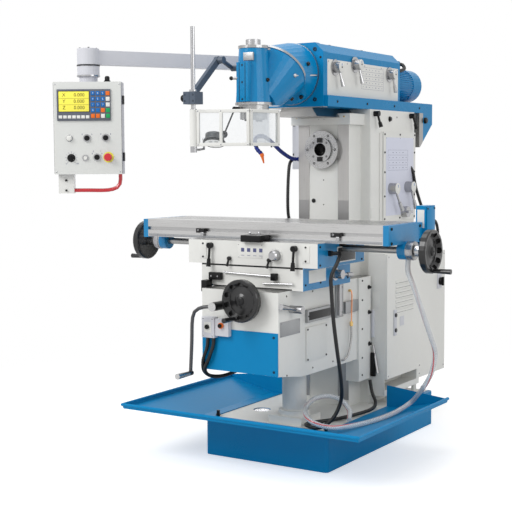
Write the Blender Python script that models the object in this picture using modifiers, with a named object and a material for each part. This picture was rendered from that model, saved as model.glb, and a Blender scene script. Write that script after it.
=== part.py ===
"""Knee-type milling machine with a swivelling universal head, as separate moving pieces.

Metres, +Z up. X runs along the table, the front of the machine faces -Y, and the
origin is the centre of the base's underside.
"""
import math

import bmesh
import bpy
from mathutils import Matrix, Vector

MODEL = "vertical_milling_machine"
GAP = 0.0003            # clearance between faces that seat on each other
RUN = 0.0005            # radial running clearance of shafts and slides
EASE = 0.004            # clearance of covers, levers and handles that pass other pieces

# base and tray
BASE_HALF_X = 0.349
BASE_HALF_Y = 0.602
BASE_HEIGHT = 0.185
CAST_WALL = 0.018
TRAY_HALF_X = 0.660
TRAY_FRONT = -0.877
TRAY_REAR = 0.089
TRAY_FOOT_X = 0.385
TRAY_FOOT_FRONT = -0.620
TRAY_LIP = 0.018
TRAY_LIP_FLARE = 0.004
TRAY_HEIGHT = 0.079
TRAY_BACK_HEIGHT = 0.115
TRAY_SHEET = 0.004
TRAY_OPEN_X = 0.320
TRAY_OPEN_FRONT = -0.560
RIM_RADIUS = 0.008
DRAIN = (-0.205, -0.300)
DRAIN_RADIUS = 0.045

# column
COLUMN_HEIGHT = 1.521
WAY_HALF_X = 0.149
WAY_FRONT = -0.015
BODY_HALF_X = 0.203
BODY_FRONT = 0.115
BODY_REAR = 0.655
CAP_HALF_X = 0.173
CAP_FRONT = -0.050
CAP_HEIGHT = 0.056
SHOULDER_RISE = 0.025
DOVETAIL_TOP = 0.085
DOVETAIL_FOOT = 0.115
DOVETAIL_DEEP = 0.045
SPINDLE_Z = 1.523
SPINDLE_BORE = 0.034925
NOSE_RADIUS = 0.064285
BEARING_RADIUS = 0.098
BEARING_PROUD = 0.026
COVER_SHEET = 0.012
GEAR_COVER_Y = (0.252, 0.645)
GEAR_COVER_Z = (1.140, 1.618)

# electrical cabinet
CABINET_FRONT = 0.097
CABINET_STEP = 0.524
CABINET_REAR = 0.890
CABINET_DEEP = 0.097
CABINET_LOW = 0.236
CABINET_HIGH = 0.985
CABINET_SHEET = 0.003

# knee, saddle and table
KNEE_HALF_X = 0.213
KNEE_FRONT = -0.812
KNEE_BOTTOM = 0.447
KNEE_TOP = 0.868
KNEE_WALL = 0.018
KNEE_CHAMFER = (0.219, 0.033)
KNEE_COVER_TOP = 0.680
GIB_BOTTOM = 0.330
GIB_HALF_X = 0.225
SADDLE_HALF_X = 0.362
SADDLE_FRONT = -0.711
SADDLE_REAR = -0.255
CROSS_HALF_X = 0.285
CROSS_HEIGHT = 0.108
SADDLE_HEIGHT = 0.114
TABLE_HALF_X = 0.660
TABLE_HALF_Y = 0.1775
TABLE_CENTRE_Y = -0.4725
TABLE_THICK = 0.088
SLOT_PITCH = 0.080
SLOT_WIDTH = 0.018
SLOT_DEPTH = 0.030
SLOT_FOOT = 0.030
SCREW_DROP = 0.122
SCREW_RADIUS = 0.016
WHEEL_RADIUS = 0.100
WHEEL_OUT = 0.150
WHEEL_HOLLOWS = 10
CROSS_WHEEL = (0.043, 0.826)
CROSS_WHEEL_OUT = 0.050
CRANK_HUB = (-0.080, 0.797)
CRANK_OUT = 0.093
CRANK_RADIUS = 0.0085
CRANK_REACH = (-0.138, -0.325)
LIFT_RADIUS = 0.060
LIFT_X = 0.065
LIFT_Y = -0.425
LIFT_BLOCK = 0.094
LIFT_FLANGE_RADIUS = 0.078
LIFT_TUBE_TOP = 0.490
LIFT_SCREW_RADIUS = 0.020
LIFT_SCREW_LOW = 0.190

# ram and head
RAM_HALF_X = 0.168
LEDGE_HALF_X = 0.195
LEDGE_HEIGHT = 0.054
RAM_HEIGHT = 0.308
RAM_WALL = 0.026
RAM_REAR = 0.540
LEDGE_REAR = 0.915
RAM_CHAMFER = 0.045
FLANGE_FRONT = -0.325
FLANGE_THICK = 0.040
HEAD_AXIS_RISE = 0.160
RING_RADIUS = 0.150
SPINDLE_Y = -0.681
SWIVEL_Y = -0.4995
SWIVEL_DROP = 0.001
SWIVEL_RADIUS = 0.160
QUILL_RADIUS = 0.083
QUILL_TOP_RADIUS = 0.067
QUILL_CAP = 0.027
FAIRING_HALF_X = 0.032
NECK_RADIUS = 0.072
HEAD_BOSS_RADIUS = 0.010
QUILL_TOP = 0.1387
QUILL_DROP = 0.164

# guard and lamp
ROD_PLACE = (-0.121, -0.995)
ROD_RADIUS = 0.010
ROD_LOW = 1.533
ROD_HIGH = 2.071
CLAMP_Z = 1.752
KNUCKLE = (-0.125, -0.761, 1.938)
SCREEN_LOW = 1.535
SCREEN_HEIGHT = 0.165
SCREEN_CORNER = (0.120, -0.900)
SCREEN_END = (0.158, -0.715)
SCREEN_THICK = 0.016
SCREEN_FRAME = 0.014
LAMP_PLACE = (-0.068, -0.905, 1.568)
LAMP_FACING = (0.15, -0.35, -0.92)
LAMP_RADIUS = 0.050
STAY_RADIUS = 0.006

# pendant
POST_PLACE = (-0.262, 0.203)
PENDANT_PLACE = (-0.853, -0.863)
ARM_LOW = 1.946
ARM_HEIGHT = 0.070
PENDANT_WIDTH = 0.332
PENDANT_HEIGHT = 0.452
PENDANT_DEPTH = 0.120
PENDANT_TOP = 1.859
PENDANT_YAW = 32.8
PENDANT_SHEET = 0.004
PENDANT_COLLAR = 0.026
# places on the pendant's face: right of its centre, up from its lower edge, hole radius
CONTROL_PLACES = {
    "emergency_stop": (0.100, 0.083, 0.0080),
    "push_button": (-0.013, 0.080, 0.0060),
    "selector_left": (-0.004, 0.177, 0),
    "selector_right": (0.088, 0.178, 0),
    "selector_lower": (0.044, 0.083, 0),
    "speed_dial": (-0.083, 0.080, 0),
}

# routes of the free cords, each with its tube radius, and of the jointed coolant spout
DRAIN_HOSE_RADIUS = 0.012
DRAIN_HOSE = [
    (0.700, -0.4725, 1.0140), (0.700, -0.4725, 0.960), (0.720, -0.463, 0.899), (0.730, -0.407, 0.801),
    (0.730, -0.292, 0.647), (0.720, -0.211, 0.553), (0.700, -0.188, 0.470), (0.660, -0.155, 0.402),
    (0.575, -0.080, 0.310), (0.505, -0.040, 0.246), (0.504, -0.254, 0.231), (0.448, -0.460, 0.219),
    (0.372, -0.600, 0.222), (0.277, -0.635, 0.250), (0.194, -0.540, 0.280), (0.191, -0.449, 0.310),
    (0.214, -0.352, 0.310), (0.265, -0.315, 0.290), (0.305, -0.301, 0.240), (0.334, -0.356, 0.205),
]
SADDLE_CABLE_RADIUS = 0.009
SADDLE_CABLE = [
    (0.3803, -0.607, 1.040), (0.417, -0.607, 1.040), (0.424, -0.638, 1.004), (0.404, -0.660, 0.940),
    (0.402, -0.656, 0.877), (0.410, -0.651, 0.739), (0.410, -0.617, 0.595), (0.400, -0.560, 0.444),
    (0.378, -0.520, 0.336), (0.345, -0.540, 0.250), (0.290, -0.570, 0.205), (0.215, -0.559, 0.2035),
    (0.190, -0.483, 0.1985), (0.265, -0.322, 0.1985), (0.316, -0.105, 0.204), (0.298, 0.000, 0.220),
    (0.258, 0.040, 0.262), (0.242, 0.045, 0.328),
]
SPOUT_RADIUS = 0.0095
COOLANT_SPOUT = [
    (-WAY_HALF_X - 0.018, 0.020, 1.475), (-WAY_HALF_X - 0.036, -0.030, 1.480),
    (-WAY_HALF_X - 0.026, -0.150, 1.515), (-0.150, -0.300, 1.570),
    (-0.135, -0.400, 1.590), (-0.140, -0.450, 1.575), (-0.120, -0.470, 1.530), (-0.090, -0.470, 1.500),
]

# levels that follow from the sizes above
COLUMN_TOP = BASE_HEIGHT + COLUMN_HEIGHT
SHOULDER_TOP = COLUMN_TOP + SHOULDER_RISE
RAM_LOW = SHOULDER_TOP + GAP
HEAD_Z = RAM_LOW + HEAD_AXIS_RISE
CROSS_LOW = KNEE_TOP + GAP
SADDLE_LOW = CROSS_LOW + CROSS_HEIGHT
SADDLE_TOP = SADDLE_LOW + SADDLE_HEIGHT
TABLE_LOW = SADDLE_TOP + GAP
TABLE_TOP = TABLE_LOW + TABLE_THICK
SCREW_Z = TABLE_TOP - SCREW_DROP
SWIVEL_AXIS = Vector((0, -math.sqrt(0.5), -math.sqrt(0.5)))
RING_CENTRE = Vector((0, SWIVEL_Y, HEAD_Z - SWIVEL_DROP))

BLUE = (0.02, 0.30, 0.58, 1)
WHITE = (0.80, 0.80, 0.78, 1)
STEEL = (0.62, 0.62, 0.62, 1)
BLACK = (0.02, 0.02, 0.022, 1)
DARK = (0.10, 0.11, 0.12, 1)
RED = (0.70, 0.02, 0.03, 1)


# ---------------------------------------------------------------- scene and helpers

def clear_scene():
    """Remove every object that the file starts with."""
    for obj in list(bpy.data.objects):
        bpy.data.objects.remove(obj, do_unlink=True)


def new_collection(name):
    """Make a collection under the scene."""
    made = bpy.data.collections.new(name)
    bpy.context.scene.collection.children.link(made)
    return made


clear_scene()
PARTS = new_collection(MODEL)
CUTTERS = new_collection("cutters")


def settle(obj, collection):
    """Move an object into one collection only."""
    for owner in list(obj.users_collection):
        owner.objects.unlink(obj)
    collection.objects.link(obj)
    return obj


def guide(obj):
    """Mark an object as a construction piece that isn't part of the machine."""
    settle(obj, CUTTERS)
    obj.hide_render = True
    obj.display_type = "WIRE"
    return obj


def box(low, high):
    """A block between two corners, on a cube primitive."""
    low, high = Vector(low), Vector(high)
    bpy.ops.mesh.primitive_cube_add(size=1, location=(low + high) / 2)
    obj = bpy.context.object
    obj.data.transform(Matrix.Diagonal((*(high - low), 1)))
    return obj


def aim(direction):
    """The rotation that turns +Z to a direction."""
    return Vector((0, 0, 1)).rotation_difference(Vector(direction).normalized())


def rod(start, end, radius, end_radius=None, sides=24):
    """A round bar or a taper between two points, on a cone primitive."""
    start, end = Vector(start), Vector(end)
    bpy.ops.mesh.primitive_cone_add(
        vertices=sides, radius1=radius, radius2=radius if end_radius is None else end_radius,
        depth=(end - start).length, location=(start + end) / 2)
    obj = bpy.context.object
    obj.rotation_mode = "QUATERNION"
    obj.rotation_quaternion = aim(end - start)
    return obj


def ball(place, radius, sides=16):
    """A sphere primitive."""
    bpy.ops.mesh.primitive_uv_sphere_add(segments=sides, ring_count=sides // 2, radius=radius,
                                         location=place)
    return bpy.context.object


def turned(profile, place, direction, sides=32):
    """A turned piece: radius and height pairs that run down its outer side."""
    mesh = bpy.data.meshes.new("profile")
    corners = [(radius, 0, height) for radius, height in profile]
    edges = [(i, i + 1) for i in range(len(corners) - 1)]
    if profile[0][0] > 0:
        edges.append((len(corners) - 1, 0))
    mesh.from_pydata(corners, edges, [])
    obj = bpy.data.objects.new("turned", mesh)
    bpy.context.scene.collection.objects.link(obj)
    obj.location = place
    obj.rotation_mode = "QUATERNION"
    obj.rotation_quaternion = aim(direction)
    screw = obj.modifiers.new("Turn", "SCREW")
    screw.angle = math.tau
    screw.steps = sides
    screw.render_steps = sides
    screw.use_merge_vertices = True
    screw.merge_threshold = 0.00005
    return obj


def as_mesh(curve):
    """Turn a curve object into a closed mesh object in the same place."""
    bpy.context.view_layer.update()
    evaluated = curve.evaluated_get(bpy.context.evaluated_depsgraph_get())
    mesh = bpy.data.meshes.new_from_object(evaluated)
    work = bmesh.new()
    work.from_mesh(mesh)
    bmesh.ops.remove_doubles(work, verts=work.verts, dist=0.00002)
    bmesh.ops.recalc_face_normals(work, faces=work.faces)
    work.to_mesh(mesh)
    work.free()
    obj = bpy.data.objects.new(curve.name, mesh)
    bpy.context.scene.collection.objects.link(obj)
    obj.matrix_world = curve.matrix_world
    bpy.data.objects.remove(curve, do_unlink=True)
    return obj


def plate(outline, low, high, across="X"):
    """A flat outline given in the two axes other than the one it is thick along."""
    curve = bpy.data.curves.new("outline", "CURVE")
    curve.dimensions = "2D"
    curve.fill_mode = "BOTH"
    curve.extrude = (high - low) / 2
    spline = curve.splines.new("POLY")
    spline.points.add(len(outline) - 1)
    for point, (u, v) in zip(spline.points, outline):
        point.co = (u, v, 0, 1)
    spline.use_cyclic_u = True
    obj = bpy.data.objects.new("plate", curve)
    bpy.context.scene.collection.objects.link(obj)
    middle = (low + high) / 2
    turns = {
        "X": Matrix(((0, 0, 1, middle), (1, 0, 0, 0), (0, 1, 0, 0), (0, 0, 0, 1))),
        "Y": Matrix(((1, 0, 0, 0), (0, 0, -1, middle), (0, 1, 0, 0), (0, 0, 0, 1))),
        "Z": Matrix.Translation((0, 0, middle)),
    }
    obj.matrix_world = turns[across]
    return as_mesh(obj)


def smooth_route(points, spacing):
    """Points at even steps along a smooth curve through the given points."""
    points = [Vector(p) for p in points]
    ends = [points[0] * 2 - points[1]] + points + [points[-1] * 2 - points[-2]]
    fine = []
    for a, b, c, d in zip(ends, ends[1:], ends[2:], ends[3:]):
        for step in range(20):
            t = step / 20
            fine.append(0.5 * ((2 * b) + (c - a) * t + (2 * a - 5 * b + 4 * c - d) * t ** 2
                               + (3 * b - a - 3 * c + d) * t ** 3))
    fine.append(points[-1])
    total = sum((q - p).length for p, q in zip(fine, fine[1:]))
    count = max(2, round(total / spacing))
    route, walked, want = [fine[0]], 0.0, total / count
    for p, q in zip(fine, fine[1:]):
        length = (q - p).length
        while length and walked + length >= want * len(route) and len(route) < count:
            route.append(p.lerp(q, (want * len(route) - walked) / length))
        walked += length
    return route + [fine[-1]]


def pipe(points, radius, resolution=2):
    """A round tube along points, as a curve with a bevel."""
    curve = bpy.data.curves.new("tube", "CURVE")
    curve.dimensions = "3D"
    curve.bevel_depth = radius
    curve.bevel_resolution = resolution
    curve.use_fill_caps = True
    spline = curve.splines.new("POLY")
    spline.points.add(len(points) - 1)
    for point, place in zip(spline.points, points):
        point.co = (*place, 1)
    obj = bpy.data.objects.new("tube", curve)
    bpy.context.scene.collection.objects.link(obj)
    return obj


def combine(obj, tools, operation):
    """Add or remove other shapes with exact Boolean modifiers."""
    for piece in tools:
        modifier = obj.modifiers.new(operation.title(), "BOOLEAN")
        modifier.operation = operation
        modifier.solver = "EXACT"
        modifier.object = guide(piece)
    return obj


def pivot(name, place, parent=None):
    """An empty on a joint's axis, which carries the pieces that move there."""
    empty = bpy.data.objects.new(name, None)
    empty.empty_display_size = 0.05
    CUTTERS.objects.link(empty)
    empty.location = place
    if parent:
        empty.parent = parent
        empty.matrix_parent_inverse = Matrix.Translation(parent["place"]).inverted()
    empty["place"] = list(place)
    return empty


def piece(name, add, cut=(), carrier=None, colour=WHITE, roughness=0.45, metallic=0.0):
    """One named piece of the machine: shapes joined, shapes cut, a finish and its carrier."""
    obj = add[0]
    combine(obj, add[1:], "UNION")
    combine(obj, cut, "DIFFERENCE")
    settle(obj, PARTS)
    obj.name = name
    obj.data.name = name
    material = bpy.data.materials.new(name + "_finish")
    material.use_nodes = True
    shader = material.node_tree.nodes["Principled BSDF"]
    shader.inputs["Base Color"].default_value = colour
    shader.inputs["Roughness"].default_value = roughness
    shader.inputs["Metallic"].default_value = metallic
    obj.data.materials.clear()
    obj.data.materials.append(material)
    if carrier:
        obj.parent = carrier
        obj.matrix_parent_inverse = Matrix.Translation(carrier["place"]).inverted()
    if obj.type == "MESH":
        obj.data.shade_smooth()
        obj.data.set_sharp_from_angle(angle=math.radians(30))
    return obj


def chamfered(half, low, high, cut):
    """A rectangle outline whose two top corners are cut off."""
    return [(-half, low), (half, low), (half, high - cut), (half - cut, high),
            (-half + cut, high), (-half, high - cut)]


# ---------------------------------------------------------------- base and column

def make_base():
    """Hollow cast base that is also the coolant tank, with a strainer hole in its top."""
    outer = box((-BASE_HALF_X, -BASE_HALF_Y, 0), (BASE_HALF_X, BASE_HALF_Y, BASE_HEIGHT))
    bevel = outer.modifiers.new("Corners", "BEVEL")
    bevel.width = 0.02
    bevel.segments = 3
    bevel.limit_method = "WEIGHT"
    weights = outer.data.attributes.new("bevel_weight_edge", "FLOAT", "EDGE")
    for edge in outer.data.edges:
        a, b = (outer.data.vertices[i].co for i in edge.vertices)
        weights.data[edge.index].value = 1.0 if abs(a.z - b.z) > 0.01 else 0.0
    tank = box((-BASE_HALF_X + CAST_WALL, -BASE_HALF_Y + CAST_WALL, CAST_WALL),
               (BASE_HALF_X - CAST_WALL, BASE_HALF_Y - CAST_WALL, BASE_HEIGHT - CAST_WALL))
    drain = rod((*DRAIN, BASE_HEIGHT - 2 * CAST_WALL), (*DRAIN, BASE_HEIGHT + 0.01), DRAIN_RADIUS)
    well = rod((LIFT_X, LIFT_Y, BASE_HEIGHT - 2 * CAST_WALL), (LIFT_X, LIFT_Y, BASE_HEIGHT + 0.01), 0.030)
    piece("base_casting", [outer], [tank, drain, well], colour=BLUE)


def tray_row(half_x, front, z):
    """Corners of one bend line of the tray, from its rear left round the front to its rear right."""
    return [(-half_x, TRAY_REAR, z), (-half_x, front, z), (half_x, front, z), (half_x, TRAY_REAR, z)]


def make_tray():
    """Sheet tray that slopes up to a rim round the front of the base, open over the casting."""
    low = BASE_HEIGHT + GAP
    top = low + TRAY_HEIGHT
    rim_row = tray_row(TRAY_HALF_X, TRAY_FRONT, top)
    lip_row = tray_row(TRAY_HALF_X - TRAY_LIP_FLARE, TRAY_FRONT + TRAY_LIP_FLARE, top - TRAY_LIP)
    foot_row = tray_row(TRAY_FOOT_X, TRAY_FOOT_FRONT, low)
    open_row = tray_row(TRAY_OPEN_X, TRAY_OPEN_FRONT, low)
    back = [(side * TRAY_OPEN_X, TRAY_REAR, low + TRAY_BACK_HEIGHT) for side in (-1, 1)]
    points = rim_row + lip_row + foot_row + open_row + back
    faces = [(a, a + 4, a + 5, a + 1) for row in (0, 4, 8) for a in range(row, row + 3)]
    faces += [(12, 8, 4, 0, 16), (3, 7, 11, 15, 17)]
    mesh = bpy.data.meshes.new("tray")
    mesh.from_pydata(points, [], faces)
    sheet = bpy.data.objects.new("tray", mesh)
    bpy.context.scene.collection.objects.link(sheet)
    thick = sheet.modifiers.new("Sheet", "SOLIDIFY")
    thick.thickness = TRAY_SHEET
    thick.offset = -1
    thick.use_even_offset = True
    rim = as_mesh(pipe([Vector(point) + Vector((0, 0, 0.002)) for point in rim_row], RIM_RADIUS))
    piece("chip_tray", [sheet, rim], colour=BLUE)


def make_column():
    """Hollow column with two front slideways, a dovetailed top and the lower spindle's bearing."""
    low = BASE_HEIGHT + GAP
    ways = box((-WAY_HALF_X, WAY_FRONT, low), (WAY_HALF_X, BODY_REAR - 0.1, COLUMN_TOP - 0.01))
    body = box((-BODY_HALF_X, BODY_FRONT, low), (BODY_HALF_X, BODY_REAR, SHOULDER_TOP))
    cap = box((-CAP_HALF_X, CAP_FRONT, COLUMN_TOP - CAP_HEIGHT),
              (CAP_HALF_X, BODY_REAR - 0.2, COLUMN_TOP))
    bearing = rod((0, WAY_FRONT - BEARING_PROUD, SPINDLE_Z), (0, BODY_REAR - 0.2, SPINDLE_Z),
                  BEARING_RADIUS, sides=40)
    centre_relief = box((-0.085, WAY_FRONT - 0.01, low - 0.01),
                        (0.085, WAY_FRONT + 0.004, COLUMN_TOP - CAP_HEIGHT - 0.001))
    top = SHOULDER_TOP - DOVETAIL_DEEP - CAST_WALL
    hollow = box((-WAY_HALF_X + CAST_WALL, BODY_FRONT - 0.09, low + CAST_WALL),
                 (WAY_HALF_X - CAST_WALL, BODY_REAR + 0.01, top))
    side_hollow = box((-BODY_HALF_X + CAST_WALL, BODY_FRONT + CAST_WALL, low + CAST_WALL),
                      (BODY_HALF_X - CAST_WALL, BODY_REAR - CAST_WALL, top))
    shell = combine(combine(body, [ways, cap], "UNION"), [hollow, side_hollow], "DIFFERENCE")
    bore = rod((0, WAY_FRONT - 0.1, SPINDLE_Z), (0, BODY_REAR, SPINDLE_Z), NOSE_RADIUS + RUN,
               sides=40)
    trough = dovetail(CAP_FRONT - 0.01, BODY_REAR + 0.01, RUN)
    foot_step = box((-BODY_HALF_X - 0.01, BASE_HALF_Y - 0.012, low - 0.01),
                    (BODY_HALF_X + 0.01, BODY_REAR + 0.02, low + 0.1))
    piece("column", [shell, bearing], [centre_relief, bore, trough, foot_step])


def dovetail(front, rear, clearance):
    """The dovetail of the ram, or with clearance the trough that it slides in."""
    top = SHOULDER_TOP + (0.02 if clearance else 0.003)
    base = SHOULDER_TOP - DOVETAIL_DEEP - clearance
    reach = DOVETAIL_FOOT + clearance
    neck = DOVETAIL_TOP + clearance
    slope = (DOVETAIL_FOOT - DOVETAIL_TOP) / DOVETAIL_DEEP
    neck_top = neck - slope * (top - SHOULDER_TOP)
    return plate([(-reach, base), (reach, base), (neck_top, top), (-neck_top, top)],
                 front, rear, "Y")


def make_column_covers():
    """Rear hatch, geared speed cover and the motor inside the column."""
    hatch = box((-WAY_HALF_X - 0.02, BODY_REAR + GAP, BASE_HEIGHT + 0.14),
                (WAY_HALF_X + 0.02, BODY_REAR + 0.006, SPINDLE_Z + 0.15))
    piece("column_rear_cover", [hatch])
    face = BODY_HALF_X + GAP
    cover = box((face, GEAR_COVER_Y[0], GEAR_COVER_Z[0]),
                (face + COVER_SHEET, GEAR_COVER_Y[1], GEAR_COVER_Z[1]))
    piece("column_gear_cover", [cover])
    floor = BASE_HEIGHT + CAST_WALL + 2 * GAP
    motor = rod((0, 0.16, floor + 0.14), (0, 0.44, floor + 0.14), 0.105, sides=28)
    shaft = rod((0, 0.43, floor + 0.14), (0, 0.50, floor + 0.14), 0.019, sides=16)
    pulley = rod((0, 0.48, floor + 0.14), (0, 0.56, floor + 0.14), 0.06, sides=24)
    foot = box((-0.1, 0.2, floor), (0.1, 0.4, floor + 0.08))
    piece("main_motor", [motor, shaft, pulley, foot], colour=DARK)


def make_lower_spindle():
    """Horizontal spindle: a bored nose with two drive keys and a long arbor shaft."""
    carrier = pivot("lower_spindle_axis", (0, WAY_FRONT, SPINDLE_Z))
    front = WAY_FRONT - BEARING_PROUD - 0.012
    shaft = rod((0, front, SPINDLE_Z), (0, BODY_REAR - 0.21, SPINDLE_Z), NOSE_RADIUS, sides=40)
    keys = [box((-0.0127, front - 0.008, SPINDLE_Z + side - 0.012),
                (0.0127, front + 0.01, SPINDLE_Z + side + 0.012)) for side in (-0.0485, 0.0485)]
    bore = rod((0, front - 0.02, SPINDLE_Z), (0, front + 0.107, SPINDLE_Z), SPINDLE_BORE + 0.001,
               0.0198, sides=32)
    draw = rod((0, front, SPINDLE_Z), (0, BODY_REAR, SPINDLE_Z), 0.0125, sides=16)
    piece("horizontal_spindle", [shaft, *keys], [bore, draw], carrier, STEEL, 0.3, 1.0)


def hub_lever(name, place, out, foot, hub_radius, hub_length, arm_radius, carrier_parent=None,
              colour=STEEL, metallic=1.0):
    """A round hub on a face with a lever arm; out is the hub's axis, foot the arm's end."""
    place, out, foot = Vector(place), Vector(out), Vector(foot)
    carrier = pivot(name + "_axis", place, carrier_parent)
    hub = rod(place + out * GAP, place + out * hub_length, hub_radius)
    start = place + out * hub_length * 0.6
    arm = rod(start, foot, arm_radius, sides=12)
    grip = rod(start.lerp(foot, 0.62), foot, arm_radius * 1.5, arm_radius * 1.9, sides=12)
    return piece(name, [hub, arm, grip], (), carrier, colour, 0.22, metallic)


def make_column_levers():
    """Two speed levers, a shift knob and the two clamp levers of the ram's slide."""
    face = BODY_HALF_X + GAP + COVER_SHEET
    for name, y, z, reach in (("speed_lever_front", 0.330, 1.315, 0.060),
                              ("speed_lever_rear", 0.530, 1.320, 0.030)):
        hub_lever(name, (face, y, z), (1, 0, 0), (face + 0.045, y + reach, z - 0.120),
                  0.030, 0.045, 0.006)
    knob_place = Vector((face, 0.487, 1.185))
    carrier = pivot("shift_knob_axis", knob_place)
    knob = rod(knob_place + Vector((GAP, 0, 0)), knob_place + Vector((0.035, 0, 0)), 0.030)
    grip = box(knob_place + Vector((0.030, -0.027, -0.007)),
               knob_place + Vector((0.048, 0.027, 0.007)))
    piece("shift_knob", [knob, grip], (), carrier, STEEL, 0.25, 1.0)
    side = BODY_HALF_X
    for name, y in (("ram_clamp_front", 0.165), ("ram_clamp_rear", 0.600)):
        hub_lever(name, (side, y, SHOULDER_TOP - 0.022), (1, 0, 0),
                  (side + 0.034, y + 0.012, SHOULDER_TOP - 0.092), 0.014, 0.030, 0.006,
                  colour=BLACK, metallic=0.0)


def make_cabinet():
    """Electrical cabinet on the column's right side, in two steps, on feet on the base."""
    x0 = BODY_HALF_X + GAP
    x1 = BODY_HALF_X + CABINET_DEEP
    step, sheet = CABINET_STEP, CABINET_SHEET
    front_shell = box((x0, CABINET_FRONT, CABINET_LOW), (x1, step, CABINET_HIGH))
    rear_shell = box((x0, step - 0.01, CABINET_LOW + 0.026),
                     (x1 - 0.008, CABINET_REAR, CABINET_HIGH - 0.035))
    hollow = box((x0 + sheet, CABINET_FRONT + sheet, CABINET_LOW + 0.030),
                 (x1 + 0.01, step - 0.030, CABINET_HIGH - 0.030))
    hollow_rear = box((x0 + sheet, step + 0.020, CABINET_LOW + 0.030),
                      (x1 - 0.008 - sheet, CABINET_REAR + 0.01, CABINET_HIGH - 0.038))
    feet = [rod((x1 - 0.03, y, BASE_HEIGHT + GAP), (x1 - 0.03, y, CABINET_LOW + 0.001), 0.014,
                sides=12) for y in (CABINET_FRONT + 0.10, step)]
    piece("electrical_cabinet", [front_shell, rear_shell, *feet], [hollow, hollow_rear])
    hinge = (x1 + 0.008, step - 0.006)
    carrier = pivot("cabinet_door_axis", (*hinge, CABINET_HIGH))
    door = box((x1 + GAP, CABINET_FRONT + 0.002, CABINET_LOW + 0.090),
               (x1 + 0.014, step - 0.010, CABINET_HIGH - 0.006))
    knuckles = [rod((*hinge, z), (*hinge, z + 0.05), 0.007, sides=12)
                for z in (CABINET_LOW + 0.14, CABINET_HIGH - 0.12)]
    piece("cabinet_door", [door, *knuckles], (), carrier)


def make_lift_screw():
    """Flanged nut tube that stands on the base under the knee."""
    top = BASE_HEIGHT + GAP
    flange_low = top + 0.035
    block = box((LIFT_X - LIFT_BLOCK, LIFT_Y - LIFT_BLOCK, top),
                (LIFT_X + LIFT_BLOCK, LIFT_Y + LIFT_BLOCK, flange_low))
    flange = rod((LIFT_X, LIFT_Y, flange_low - 0.001), (LIFT_X, LIFT_Y, flange_low + 0.025),
                 LIFT_FLANGE_RADIUS, sides=32)
    tube = rod((LIFT_X, LIFT_Y, flange_low), (LIFT_X, LIFT_Y, LIFT_TUBE_TOP), LIFT_RADIUS, sides=32)
    bore = rod((LIFT_X, LIFT_Y, top - 0.01), (LIFT_X, LIFT_Y, LIFT_TUBE_TOP + 0.01),
               LIFT_SCREW_RADIUS + 0.0025)
    piece("screw_pedestal", [block, flange, tube], [bore])


# ---------------------------------------------------------------- knee, saddle and table

def make_knee():
    """Knee casting, open below round the lifting tube, with gibs that wrap the column's ways."""
    carrier = pivot("knee_slide_axis", (0, 0, KNEE_BOTTOM))
    rear = WAY_FRONT - GAP
    main = box((-KNEE_HALF_X, KNEE_FRONT, KNEE_BOTTOM), (KNEE_HALF_X, rear, KNEE_TOP))
    gibs = []
    for side in (-1, 1):
        inner, outer = sorted((side * (WAY_HALF_X + GAP), side * GIB_HALF_X))
        gibs.append(box((inner, rear - 0.03, GIB_BOTTOM), (outer, BODY_FRONT - 0.03, KNEE_TOP)))
    hollow = box((-KNEE_HALF_X + KNEE_WALL, KNEE_FRONT + KNEE_WALL, KNEE_BOTTOM - 0.01),
                 (KNEE_HALF_X - KNEE_WALL, rear - KNEE_WALL, KNEE_TOP - 0.05))
    run, rise = KNEE_CHAMFER
    chin = plate([(KNEE_FRONT - run, KNEE_BOTTOM + 2 * rise), (KNEE_FRONT - run, GIB_BOTTOM),
                  (KNEE_FRONT + run, GIB_BOTTOM), (KNEE_FRONT + run, KNEE_BOTTOM)],
                 -KNEE_HALF_X - 0.01, KNEE_HALF_X + 0.01)
    piece("knee", [main, *gibs], [hollow, chin], carrier)
    top = KNEE_TOP - 0.05 - GAP
    screw, collar, gear, bridge = [
        rod((LIFT_X, LIFT_Y, low), (LIFT_X, LIFT_Y, high), radius, sides=sides)
        for low, high, radius, sides in (
            (LIFT_SCREW_LOW, top, LIFT_SCREW_RADIUS, 20), (top - 0.06, top, 0.055, 24),
            (top - 0.10, top - 0.07, 0.075, 24), (top - 0.08, top - 0.05, 0.030, 16))]
    piece("elevating_screw", [screw, collar, gear, bridge], (), carrier, STEEL, 0.35, 1.0)
    cover = box((-KNEE_HALF_X + 0.002, KNEE_FRONT - 0.004, KNEE_BOTTOM + rise + 0.001),
                (KNEE_HALF_X - 0.002, KNEE_FRONT - GAP, KNEE_COVER_TOP))
    piece("knee_front_cover", [cover], (), carrier, BLUE)
    hub_lever("knee_clamp_lever", (KNEE_HALF_X, -0.708, 0.782), (1, 0, 0),
              (KNEE_HALF_X + 0.032, -0.839, 0.809), 0.018, 0.068, 0.007, carrier)
    return carrier


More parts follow.
